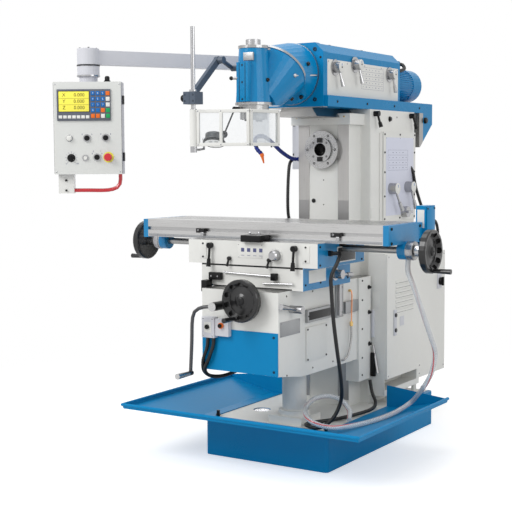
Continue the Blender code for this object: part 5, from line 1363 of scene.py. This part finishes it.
class MILL_OT_ram_trim(Maker):
    """Panels, lever collars, bolts, motor fins and conduit of the ram"""
    bl_idname = "mill.ram_trim"
    bl_label = "Ram trim"

    def make(self):
        side, slide = 0.168, "ram"
        levers = (("front", -0.205, 1.925), ("middle", 0.005, 1.952), ("rear", 0.400, 1.925))
        p = Shape(facing((side, 0.117, 1.864), X))
        p.block((-0.395, -0.099, 0), (0.395, 0.099, 0.003), "white", 0.0012)
        for u, v in product((-0.385, -0.19, 0.0, 0.19, 0.385), (-0.089, 0.089)):
            p.pan_screw((u, v, 0.003), 0.0085)
        p.ready("ram_panel", slide)
        ruled(facing((side + 0.0031, 0.207, 1.891), X), 0.126, 0.056, 5, 7, "ram_speed_table", slide)
        c = Shape()
        for _, y, z in levers:
            c.at = facing((side + 0.003, y, z), X)
            c.sleeve((0, 0, 0), -0.001, 0.006, 0.0268, 0.0400, "satin_chrome", 36)
            for i in range(3):
                a = math.radians(60 + 30 * i)
                u, v = 0.046 * math.cos(a), 0.046 * math.sin(a)
                if abs(v + z - 1.864) < 0.096:
                    c.block((u - 0.002, v - 0.002, 0), (u + 0.002, v + 0.002, 0.0005), "key_blue", 0)
        c.at = Matrix.Identity(4)
        c.ready("ram_lever_collars", slide)
        for name, y, z in levers:
            k = Shape(facing((0.2095, y, z), X))
            k.turned([(0.0255, -0.001), (0.0255, 0.0015), (0.0235, 0.0030), (0.0060, 0.0034)], "white", 32)
            k.block((-0.0020, 0.006, 0.0030), (0.0020, 0.018, 0.0038), "key_blue", 0.0003)
            k.socket_screw((0, 0, 0.0034), 0.008, high=0.002)
            k.ready(f"ram_lever_cap_{name}", f"ram_lever_{name}")
        b = Shape()
        for x, z in ((0.128, 2.0085), (0.128, 1.765), (-0.128, 2.0085), (-0.128, 1.765)):
            b.socket_screw((x, -0.325, z), 0.020, -Y, Z, 0.004)
        for x in (-0.159, 0.159):
            b.turned([(0.006, 0), (0.006, 0.0006)], "blackened", 18, facing((x, -0.3252, 1.968), -Y))
        for y, x in product((-0.10, 0.25), (-0.08, 0.08)):
            b.hex_screw((x, y, 2.0393), 0.018, "blackened", Z, Y)
        b.turned([(0.016, 0), (0.016, 0.012), (0.012, 0.018), (0.004, 0.019)], "black_plastic", 24,
                 facing((0.0, 0.40, 2.0393), Z, Y))
        b.block((-0.10, -0.06, 2.0385), (0.10, 0.20, 2.0425), "blue", 0.001)
        b.turned([(0.017, 0), (0.017, 0.010), (0.014, 0.014), (0.003, 0.015)], "black_plastic", 24,
                 facing((0.195, 0.813, 1.690), X))
        for y in (-0.22, 0.10, 0.42, 0.74):
            b.socket_screw((0.195, y, 1.757), 0.012, X, Z, 0.003)
        b.ready("ram_fittings", slide)
        self.motor()

    def motor(self):
        """Cooling fins, fan grille and terminal box of the ram's motor."""
        centre = Vector((0.035, 0, 1.8923))
        m = Shape()
        count = fittings().fins
        for i in range(count):
            a = math.tau * i / count
            if 62 < math.degrees(a) < 118:
                continue
            m.at = Matrix.Translation(centre) @ Matrix.Rotation(-a, 4, "Y")
            m.block((0.0862, 0.575, -0.0016), (0.0920, 0.808, 0.0016), "blue", 0.0008)
        m.at = facing((centre.x, 0.9131, centre.z), Y)
        for radius in (0.020, 0.034, 0.048, 0.062, 0.076):
            m.sleeve((0, 0, 0), -0.001, 0.0016, radius - 0.0022, radius + 0.0022, "blackened", 36)
        for i in range(4):
            a = math.radians(45 + 90 * i)
            m.at = (facing((centre.x, 0.9131, centre.z), Y) @ Matrix.Rotation(a, 4, "Z"))
            m.block((0.014, -0.003, 0), (0.086, 0.003, 0.0022), "blue", 0.0006)
        m.at = Matrix.Identity(4)
        m.block((-0.008, 0.620, 1.975), (0.078, 0.735, 2.024), "blue", 0.004)
        for x, y in product((0.000, 0.070), (0.628, 0.727)):
            m.pan_screw((x, y, 2.024), 0.008, Z, Y)
        m.ready("ram_motor_fins", "ram")
        t = Shape()
        t.bar((0.078, 0.665, 2.001), (0.100, 0.665, 2.001), 0.0135, "black_plastic", sides=6)
        t.conduit([(0.098, 0.665, 2.001), (0.125, 0.660, 1.998), (0.148, 0.640, 1.975),
                   (0.150, 0.590, 1.960), (0.140, 0.5405, 1.955)], 0.006, 14, 1.0, 1.10)
        t.ready("ram_motor_conduit", "ram")


class MILL_OT_head_trim(Maker):
    """Graduated rings, bolts, plate and brake rod of the universal head"""
    bl_idname = "mill.head_trim"
    bl_label = "Head trim"

    def make(self):
        tilt = Vector((0, -math.sqrt(0.5), -math.sqrt(0.5)))
        middle = Vector((0, -0.4995, 1.8903))
        self.ring("head_tilt_scale", (0, -0.3253, 1.8913), -Y, Z, 0.1500, 0.0120, "swivel_housing")
        self.ring("head_swivel_scale", middle - tilt * 0.0145, tilt, Z, 0.1595, 0.0130, "swivel_housing")
        b = Shape()
        for place, out in (((0.1471, -0.4342, 1.9266), (0.96, 0.03, 0.29)),
                           ((0.0819, -0.4764, 1.7671), (0.60, 0.29, -0.75)),
                           ((0.0872, -0.3861, 1.7804), (0.07, -0.64, -0.77)),
                           ((-0.1471, -0.4342, 1.9266), (-0.96, 0.03, 0.29)),
                           ((-0.0872, -0.3861, 1.7804), (-0.07, -0.64, -0.77))):
            here = Vector(place) - Vector(out).normalized() * 0.001
            b.turned([(0.017, -0.004), (0.017, 0.002), (0.0135, 0.0026)], "blue", 24,
                     facing(here, out))
            b.socket_screw(here + Vector(out).normalized() * 0.0022, 0.019, out, Z, 0.012)
        b.ready("head_tilt_bolts", "swivel_housing")
        h = Shape()
        h.socket_screw((0.0752, HEAD_Y, 1.8424), 0.018, X, Z, 0.010)
        h.socket_screw((-0.0752, HEAD_Y, 1.8424), 0.018, -X, Z, 0.010)
        # Painted shade: two thin black lines down the front stand for the dark in the fairing's grooves.
        for x in (-0.016, 0.016):
            h.block((x - 0.0012, -0.7768, 1.7450), (x + 0.0012, -0.7755, 1.918), "blackened", 0)
        for z in (1.752, 1.830, 1.908):
            h.socket_screw((0, -0.776, z), 0.0085, -Y, Z, 0.002)
        h.block((-0.008, -0.7545, 1.930), (0.045, -0.7435, 1.967), "aluminium", 0.001)
        h.bar((0.141, -0.538, 1.868), (0.150, -0.345, 1.880), 0.0055, "chrome")
        h.ball((0.141, -0.538, 1.868), 0.010, "chrome")
        h.bar((0.118, -0.538, 1.866), (0.141, -0.538, 1.868), 0.0060, "chrome")
        h.bar((-0.030, -0.772, 1.849), (-0.052, -0.789, 1.849), 0.0065, "satin_chrome")
        h.ball((-0.052, -0.789, 1.849), 0.0095, "black_plastic")
        h.turned([(0.0345, -0.0005), (0.0345, 0.0006), (0.0325, 0.0016), (0.0050, 0.0020)], "satin_chrome",
                 40, facing((0, HEAD_Y, 2.0300), Z, Y))
        h.ready("spindle_head_fittings", "spindle_head")
        nose_screws("vertical_nose_screws", "vertical_spindle",
                    lambda u, v: (u, HEAD_Y + v, 1.6607), -Z, Y)

    def ring(self, name, place, out, up, radius, width, body):
        """A satin graduated ring round a swivel joint, numbered by its longer lines."""
        s = Shape(facing(place, out, up))
        s.sleeve((0, 0, 0), 0, width, radius - 0.004, radius + 0.0012, "aluminium", 72)
        line = fittings().graduation
        base = s.at
        for i in range(0, 360, 3):
            a = math.radians(i)
            long = width * (0.80 if i % 15 == 0 else 0.45)
            s.at = base @ Matrix.Rotation(a, 4, "Z")
            s.block((radius + 0.0008, -line / 2, width * 0.08), (radius + 0.0014, line / 2, long), "ink", 0)
        s.ready(name, body)


# ---- knee, saddle and table

class MILL_OT_knee_trim(Maker):
    """Switch boxes, plates, covers, scale housings and pipes of the knee"""
    bl_idname = "mill.knee_trim"
    bl_label = "Knee trim"

    def make(self):
        front, side = -0.812, 0.213
        s = Shape()
        for x, z in product((-0.19, 0.19), (0.50, 0.66)):
            s.socket_screw((x, front - 0.004, z), 0.011, -Y, Z, 0.003)
        s.block((-0.1945, front - 0.034, 0.637), (-0.122, front - 0.0003, 0.737), "grey", 0.004)
        s.block((-0.122, front - 0.028, 0.648), (-0.045, front - 0.0003, 0.730), "grey", 0.004)
        for x, z in product((-0.185, -0.132), (0.646, 0.728)):
            s.pan_screw((x, front - 0.034, z), 0.008, -Y, Z)
        s.block((-0.178, front - 0.036, 0.662), (-0.139, front - 0.0335, 0.712), "key_white", 0.0008)
        s.bar((-0.1585, front - 0.036, 0.690), (-0.1585, front - 0.046, 0.690), 0.011, "black_plastic",
              sides=24)
        s.bar((-0.084, front - 0.028, 0.700), (-0.084, front - 0.040, 0.700), 0.0135, "orange", sides=20)
        s.bar((-0.084, front - 0.038, 0.700), (-0.084, front - 0.046, 0.700), 0.0100, "black_plastic",
              sides=20)
        s.block((-0.246, -0.775, 0.845), (-0.2132, -0.725, 0.900), "black_plastic", 0.004)
        s.block((-0.240, -0.765, 0.800), (-0.2132, -0.735, 0.846), "blackened", 0.003)
        s.ready("knee_switch_boxes", "knee")
        c = Shape()
        for points in ([(-0.137, front - 0.016, 0.648), (-0.139, front - 0.018, 0.600),
                        (-0.160, front - 0.022, 0.540), (-0.196, front - 0.006, 0.480),
                        (-0.206, -0.760, 0.438), (-0.190, -0.640, 0.425), (-0.140, -0.520, 0.470)],
                       [(-0.170, front - 0.016, 0.648), (-0.174, front - 0.018, 0.590),
                        (-0.200, front - 0.016, 0.520), (-0.222, -0.780, 0.455),
                        (-0.226, -0.660, 0.415), (-0.180, -0.500, 0.440), (-0.140, -0.420, 0.500)]):
            c.conduit(points, 0.005, 12, 0.86)
        c.ready("knee_conduits", "knee")
        self.side_plates(side)
        self.scale_rods()

    def side_plates(self, side):
        """Dial plate, cover, scale housings, bracket and oil pipes on the knee's right side."""
        p = Shape()
        p.block((side, -0.800, 0.660), (side + 0.0015, -0.620, 0.730), "aluminium", 0.0006)
        for y, z in product((-0.792, -0.628), (0.667, 0.723)):
            p.pan_screw((side + 0.0015, y, z), 0.006, X, Z)
        p.block((side, -0.567, 0.512), (side + 0.006, -0.369, 0.677), "white", 0.002)
        for y, z in product((-0.557, -0.379), (0.522, 0.667)):
            p.socket_screw((side + 0.006, y, z), 0.010, X, Z, 0.003)
        p.block((side, -0.572, 0.701), (side + 0.016, -0.339, 0.7625), "aluminium", 0.003)
        p.block((side, -0.195, 0.700), (side + 0.016, -0.060, 0.760), "aluminium", 0.003)
        p.block((side + 0.0155, -0.560, 0.712), (side + 0.0168, -0.351, 0.7515), "blackened", 0.0004)
        for y in (-0.565, -0.346):
            p.socket_screw((side + 0.016, y, 0.732), 0.007, X, Z, 0.002)
        p.block((side, -0.281, 0.690), (side + 0.012, -0.212, 0.864), "aluminium", 0.002)
        p.block((side + 0.012, -0.272, 0.700), (side + 0.024, -0.250, 0.855), "satin_chrome", 0.002)
        for z in (0.715, 0.840):
            p.socket_screw((side + 0.012, -0.232, z), 0.009, X, Z, 0.003)
        p.ready("knee_side_plates", "knee")
        o = Shape()
        o.tube(spline([(0.2245, -0.133, 0.812), (0.2300, -0.133, 0.790), (0.2300, -0.136, 0.700),
                       (0.2300, -0.138, 0.655)], 0.008), 0.0035, "copper", 12)
        o.bar((0.2300, -0.138, 0.656), (0.2300, -0.138, 0.632), 0.0085, "brass", sides=6)
        o.turned([(0.007, 0), (0.007, 0.012), (0.004, 0.013)], "brass", 6,
                 facing((0.213, -0.133, 0.812), X))
        o.tube(spline([(0.230, -0.138, 0.634), (0.231, -0.142, 0.570), (0.232, -0.170, 0.500),
                       (0.226, -0.205, 0.470), (0.206, -0.210, 0.468)], 0.007), 0.0055, "braid", 14)
        for z, y in product((0.845, 0.475), (-0.74, -0.50, -0.30)):
            o.socket_screw((0.213, y, z), 0.009, X, Z, 0.0015)
        o.ready("knee_oil_pipes", "knee")

    def scale_rods(self):
        """Measuring rods in front of the saddle with their end holders."""
        r = Shape()
        r.bar((-0.149, -0.720, 0.938), (0.138, -0.720, 0.930), 0.0050, "chrome")
        r.bar((0.072, -0.722, 0.895), (0.236, -0.722, 0.900), 0.0050, "chrome")
        for low, high in (((-0.231, -0.733, 0.900), (-0.161, -0.7113, 0.936)),
                          ((0.120, -0.733, 0.912), (0.150, -0.7113, 0.946))):
            r.block(low, high, "black_plastic", 0.003)
        for x in (-0.215, -0.178):
            r.socket_screw((x, -0.733, 0.918), 0.008, -Y, Z, 0.003, finish="satin_chrome")
        r.ready("saddle_scale_rods", "saddle")


class MILL_OT_saddle_trim(Maker):
    """Blank plates, small levers, limit switch, glazed side panel and lever collars of the saddle, with two
    strips of painted shade in its front seams
    """
    bl_idname = "mill.saddle_trim"
    bl_label = "Saddle trim"

    def make(self):
        front, side = -0.711, 0.362
        s = Shape()
        s.block((-0.074, front - 0.0015, 1.010), (0.066, front - 0.0001, 1.078), "key_white", 0.0006)
        for x, z in product((-0.069, 0.061), (1.015, 1.073)):
            s.pan_screw((x, front - 0.0015, z), 0.005, -Y, Z)
        for i in range(4):
            x = -0.055 + 0.034 * i
            s.block((x, front - 0.0018, 1.040), (x + 0.018, front - 0.0014, 1.058), "ink", 0)
            s.block((x, front - 0.0018, 1.022), (x + 0.018, front - 0.0014, 1.024), "ink", 0)
        for x in (-0.120, 0.105):
            s.bar((x, front, 1.005), (x, front - 0.014, 1.005), 0.010, "blackened")
            s.bar((x, front - 0.011, 1.005), (x - 0.004, front - 0.020, 0.968), 0.0045, "black_plastic",
                  0.0065)
        s.at = facing((0.139, front, 1.0283), -Y)
        s.sleeve((0, 0, 0), -0.001, 0.003, 0.0270, 0.0350, "white", 36)
        for i in range(9):
            a = math.radians(-120 + 30 * i + 90)
            s.block((0.031 * math.cos(a) - 0.001, 0.031 * math.sin(a) - 0.001, 0.003),
                    (0.031 * math.cos(a) + 0.001, 0.031 * math.sin(a) + 0.001, 0.0033), "ink", 0)
        s.at = Matrix.Identity(4)
        for x in (-0.275, 0.300):
            s.block((x - 0.020, front - 0.003, 1.000), (x + 0.020, front - 0.0001, 1.080), "white", 0.001)
            for z in (1.008, 1.072):
                s.socket_screw((x, front - 0.003, z), 0.009, -Y, Z, 0.003)
        s.block((-0.041, front - 0.030, 1.092), (0.040, front + 0.055, 1.0905 + 0.002), "blackened", 0.0004)
        # Painted shade: two near-black strips across the front stand for the dark in the seams just under
        # the saddle's upper part and just above the knee.
        s.block((-0.283, front - 0.0006, 0.9690), (0.283, front + 0.001, 0.9765), "dark_glass_and_painted_shade", 0)
        s.block((-0.225, front - 0.0006, 0.8690), (0.225, front + 0.001, 0.8745), "dark_glass_and_painted_shade", 0)
        s.ready("saddle_front_fittings", "saddle")
        w = Shape()
        w.block((side, -0.530, 0.990), (side + 0.003, -0.350, 1.065), "white", 0.0015)
        w.block((side + 0.0025, -0.524, 0.996), (side + 0.0042, -0.356, 1.059), "dark_glass_and_painted_shade", 0.0008)
        for y, z in product((-0.690, -0.280), (0.990, 1.074)):
            w.socket_screw((side, y, z), 0.011, X, Z, 0.003)
        w.at = facing((0.285, -0.411, 0.924), X)
        w.sleeve((0, 0, 0), -0.001, 0.005, 0.0226, 0.0320, "satin_chrome", 32)
        w.at = Matrix.Identity(4)
        for y in (-0.69, -0.55, -0.28):
            w.socket_screw((0.285, y, 0.895), 0.010, X, Z, 0.003)
        w.block((0.285, -0.660, 0.900), (0.2865, -0.500, 0.960), "key_white", 0.0006)
        w.ready("saddle_side_fittings", "saddle")
        self.switch(front)

    def switch(self, front):
        """Feed limit switch under the table's front edge, with its two rollers."""
        m = Shape()
        m.block((-0.041, front - 0.028, 1.094), (0.068, front + 0.055, 1.120), "black_plastic", 0.003)
        m.block((-0.041, front - 0.028, 1.088), (0.068, front + 0.002, 1.100), "black_plastic", 0.003)
        for x in (-0.012, 0.039):
            m.bar((x, front + 0.010, 1.118), (x, front + 0.010, 1.130), 0.0060, "satin_chrome")
            m.ball((x, front + 0.010, 1.130), 0.0065, "chrome")
        m.ready("feed_limit_switch", "saddle")


class MILL_OT_table_trim(Maker):
    """Stop dogs, dials, bracket screws, wheel caps and plates of the table"""
    bl_idname = "mill.table_trim"
    bl_label = "Table trim"

    def make(self):
        front = -0.650
        s = Shape()
        for x in (-0.329, 0.425):
            s.block((x - 0.024, front - 0.014, 1.118), (x + 0.024, front + 0.0105, 1.1405), "blackened",
                    0.002)
            s.socket_screw((x - 0.010, front - 0.014, 1.131), 0.010, -Y, Z, 0.003, finish="satin_chrome")
            s.block((x + 0.004, front - 0.016, 1.104), (x + 0.022, front - 0.002, 1.122), "satin_chrome",
                    0.002)
        s.block((-0.655, front - 0.0012, 1.093), (0.655, front - 0.0001, 1.106), "aluminium", 0.0003)
        line = fittings().graduation
        for i in range(-64, 65):
            x = i * 0.010
            tall = 1.1040 if i % 5 == 0 else 1.0990
            s.block((x - line / 2, front - 0.0014, 1.094), (x + line / 2, front - 0.0011, tall), "ink", 0)
        s.ready("table_stops", "table")
        for side in (-1, 1):
            self.end(side)
        self.gearbox()
        c = Shape(facing((CROSS_X, -0.8725, CROSS_Z), -Y))
        self.cap(c)
        c.ready("cross_wheel_cap", "cross_handwheel")
        d = Shape(facing((CROSS_X, -0.812, CROSS_Z), -Y))
        self.dial(d, 0.0335, 0.003, 0.020)
        d.ready("cross_wheel_dial", "knee")

    def end(self, side):
        """Bolts and graduated dial of one end bracket, and its wheel's centre cap."""
        name = "left" if side < 0 else "right"
        s = Shape(facing((side * 0.6883, SCREW_Y, SCREW_Z), (side, 0, 0)))
        for u, v in product((-0.150, 0.150), (0.040, 0.105)):
            s.socket_screw((u, v, 0), 0.014, high=0.004)
        s.ready(f"table_bracket_bolts_{name}", "table")
        d = Shape(facing((side * 0.7353, SCREW_Y, SCREW_Z), (side, 0, 0)))
        self.dial(d, 0.0400, -0.026, -0.004)
        d.ready(f"table_dial_{name}", "table")
        c = Shape(facing((side * 0.8200, SCREW_Y, SCREW_Z), (side, 0, 0)))
        self.cap(c)
        c.ready(f"handwheel_cap_{name}", f"handwheel_{name}")

    def dial(self, s, radius, low, high):
        """A satin dial ring with fifty graduations."""
        s.sleeve((0, 0, 0), low, high, radius - 0.006, radius + 0.0035, "satin_chrome", 60)
        base, line = s.at, fittings().graduation
        for i in range(50):
            s.at = base @ Matrix.Rotation(math.tau * i / 50, 4, "Z")
            reach = high - (high - low) * (0.62 if i % 5 == 0 else 0.38)
            s.block((radius + 0.0031, -line / 2, reach), (radius + 0.0038, line / 2, high - 0.001), "ink", 0)
        s.at = base

    def cap(self, s):
        """Domed centre cap with its screw."""
        s.turned([(0.021, -0.002), (0.021, 0.002), (0.018, 0.005), (0.010, 0.0065), (0.002, 0.007)],
                 "blackened", 32)
        s.socket_screw((0, 0, 0.0066), 0.008, high=0.002)

    def gearbox(self):
        """Cover plate, screws and motor ribs of the power feed."""
        g = Shape()
        g.block((0.705, -0.288, 1.112), (0.709, -0.196, 1.248), "blue", 0.0015)
        for y, z in product((-0.280, -0.204), (1.120, 1.240)):
            g.socket_screw((0.709, y, z), 0.009, X, Z, 0.003)
        g.block((0.662, -0.2955, 1.150), (0.698, -0.2945, 1.235), "key_white", 0.0004)
        for i in range(6):
            z = 1.040 + i * 0.0095
            g.sleeve((0.680, -0.243, 0), z, z + 0.003, 0.0392, 0.0430, "blackened", 28)
        g.ready("feed_gearbox_trim", "table")


# ---- cabinet and column side

class MILL_OT_cabinet_trim(Maker):
    """Louvres, latches, trip gear, conduits and knobs of the cabinet and the column's side"""
    bl_idname = "mill.cabinet_trim"
    bl_label = "Cabinet trim"

    def make(self):
        face = 0.314
        d = Shape(facing((face, 0.3085, 0.7505), X))
        count = fittings().louvres
        for i in range(count):
            v = -0.078 + 0.156 * i / (count - 1)
            d.prism([(-0.112, v - 0.006), (0.112, v - 0.006), (0.112, v + 0.006), (-0.112, v + 0.006)],
                    -0.0005, 0.0050, "white", 0.003)
            # Painted shade: a near-black strip under each louvre stands for the dark of the opening behind
            # it.
            d.block((-0.108, v - 0.0085, -0.0004), (0.108, v - 0.0058, 0.0006), "dark_glass_and_painted_shade", 0)
        d.ready("door_louvres", "cabinet_door")
        k = Shape()
        k.block((face, 0.173, 0.547), (face + 0.006, 0.204, 0.684), "grey", 0.002)
        for z in (0.575, 0.655):
            k.turned([(0.011, 0), (0.011, 0.004), (0.0085, 0.006), (0.003, 0.0062)], "blackened", 24,
                     facing((face + 0.006, 0.1885, z), X))
            k.block((face + 0.0115, 0.1873, z - 0.007), (face + 0.0128, 0.1897, z + 0.007),
                    "satin_chrome", 0)
        k.block((face, 0.250, 0.590), (face + 0.0012, 0.300, 0.640), "grey", 0.0005)
        for y, z in product((0.115, 0.500), (0.340, 0.965)):
            k.pan_screw((face, y, z), 0.009, X, Z)
        k.ready("door_fittings", "cabinet_door")
        r = Shape()
        r.block((0.292, 0.780, 0.735), (0.298, 0.840, 0.820), "grey", 0.002)
        r.turned([(0.022, 0), (0.022, 0.010), (0.018, 0.014), (0.004, 0.015)], "black_plastic", 28,
                 facing((0.298, 0.810, 0.777), X))
        r.block((0.310, 0.804, 0.752), (0.322, 0.816, 0.802), "black_plastic", 0.003)
        for y, z in product((0.545, 0.875), (0.285, 0.930)):
            r.pan_screw((0.292, y, z), 0.009, X, Z)
        r.ready("cabinet_switch", "frame")
        for name, y, z in (("front", 0.330, 1.315), ("rear", 0.530, 1.320)):
            cap = Shape(facing((0.2603, y, z), X))
            cap.turned([(0.0295, -0.001), (0.0295, 0.0015), (0.0270, 0.0030), (0.0060, 0.0034)], "white",
                       36)
            cap.block((-0.0022, 0.006, 0.0030), (0.0022, 0.021, 0.0040), "key_blue", 0.0003)
            cap.ready(f"speed_lever_cap_{name}", f"speed_lever_{name}")
        self.trip_gear()
        self.conduits()

    def trip_gear(self):
        """Trip plate, bar, lever and block on the cabinet's front edge, and gib knobs."""
        face = 0.097
        t = Shape()
        t.block((0.228, face - 0.0015, 0.700), (0.273, face, 0.784), "key_white", 0.0006)
        t.block((0.228, face - 0.012, 0.545), (0.242, face, 0.689), "grey", 0.002)
        t.block((0.228, face - 0.020, 0.339), (0.252, face, 0.464), "black_plastic", 0.003)
        t.bar((0.240, face - 0.010, 0.504), (0.269, face - 0.014, 0.357), 0.005, "chrome", 0.007)
        t.ready("trip_gear", "frame")
        g = Shape()
        for y, z in ((0.060, 0.811), (0.063, 0.680), (0.067, 0.514)):
            g.turned([(0.012, 0), (0.012, 0.004), (0.008, 0.006), (0.008, 0.014), (0.005, 0.016)],
                     "blackened", 6, facing((0.225, y, z), X))
        for z, side in product((0.36, 0.45, 0.60, 0.75, 0.85), (-1, 1)):
            g.socket_screw((side * 0.225, -0.010, z), 0.010, (side, 0, 0), Z, 0.003)
        g.ready("gib_screws", "knee")

    def conduits(self):
        """Black conduits on the column, and the pale gusset under the pendant's post."""
        c = Shape()
        for points in ([(0.203, 0.590, 1.440), (0.222, 0.600, 1.400), (0.226, 0.640, 1.300),
                        (0.232, 0.740, 1.150), (0.240, 0.820, 1.050), (0.245, 0.850, 0.990),
                        (0.245, 0.850, 0.951)],
                       [(0.245, 0.700, 0.951), (0.246, 0.702, 1.040), (0.248, 0.760, 1.115),
                        (0.250, 0.840, 1.118), (0.250, 0.880, 1.060), (0.248, 0.876, 0.951)],
                       [(-0.194, 0.010, 1.480), (-0.194, -0.040, 1.430), (-0.195, -0.050, 1.200),
                        (-0.200, 0.010, 1.120), (-0.213, 0.130, 1.060), (-0.213, 0.180, 0.900),
                        (-0.213, 0.210, 0.400)]):
            c.conduit(points, 0.005, 12, 0.88)
        for place in ((0.245, 0.850, 0.948), (0.245, 0.700, 0.948), (0.248, 0.876, 0.948)):
            c.turned([(0.014, 0), (0.014, 0.010), (0.011, 0.016)], "black_plastic", 6,
                     facing(place, Z, Y))
        c.ready("column_conduits", "frame")
        g = Shape(facing((-0.200, 0.110, 1.50), -Y))
        g.prism([(-0.060, -0.070), (0.000, -0.070), (0.050, 0.215), (-0.030, 0.215)], -0.004, 0.000,
                "grey", 0.001)
        g.ready("post_gusset", "frame")


STEPS = (MILL_OT_stage, MILL_OT_cords, MILL_OT_castings, MILL_OT_base_trim, MILL_OT_column_trim,
         MILL_OT_pendant, MILL_OT_guard, MILL_OT_ram_trim, MILL_OT_head_trim, MILL_OT_knee_trim,
         MILL_OT_saddle_trim, MILL_OT_table_trim, MILL_OT_cabinet_trim)


# ---- panel and start

class MILL_PT_panel(bpy.types.Panel):
    """Sidebar panel with the settings and the steps"""
    bl_label = "Milling machine"
    bl_idname = "MILL_PT_panel"
    bl_space_type = "VIEW_3D"
    bl_region_type = "UI"
    bl_category = "Mill"

    def draw(self, context):
        for group in (context.scene.mill_colours, context.scene.mill_fittings,
                      context.scene.mill_stage):
            box = self.layout.box()
            for name in group.bl_rna.properties.keys():
                if name not in {"rna_type", "name"}:
                    box.prop(group, name)
        for step in STEPS:
            self.layout.operator(step.bl_idname)


GROUPS = {"mill_colours": MillColours, "mill_fittings": MillFittings, "mill_stage": MillStage}


def register():
    """Register the settings, the steps and the panel."""
    for name, group in GROUPS.items():
        bpy.utils.register_class(group)
        setattr(bpy.types.Scene, name, PointerProperty(type=group))
    for step in (*STEPS, MILL_PT_panel):
        bpy.utils.register_class(step)


def unregister():
    """Take everything off again."""
    for step in (MILL_PT_panel, *reversed(STEPS)):
        bpy.utils.unregister_class(step)
    for name, group in reversed(GROUPS.items()):
        delattr(bpy.types.Scene, name)
        bpy.utils.unregister_class(group)


def main():
    """Make every piece in order."""
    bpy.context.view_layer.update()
    register()
    for step in STEPS:
        group, name = step.bl_idname.split(".")
        getattr(getattr(bpy.ops, group), name)()


if __name__ == "__main__":
    main()
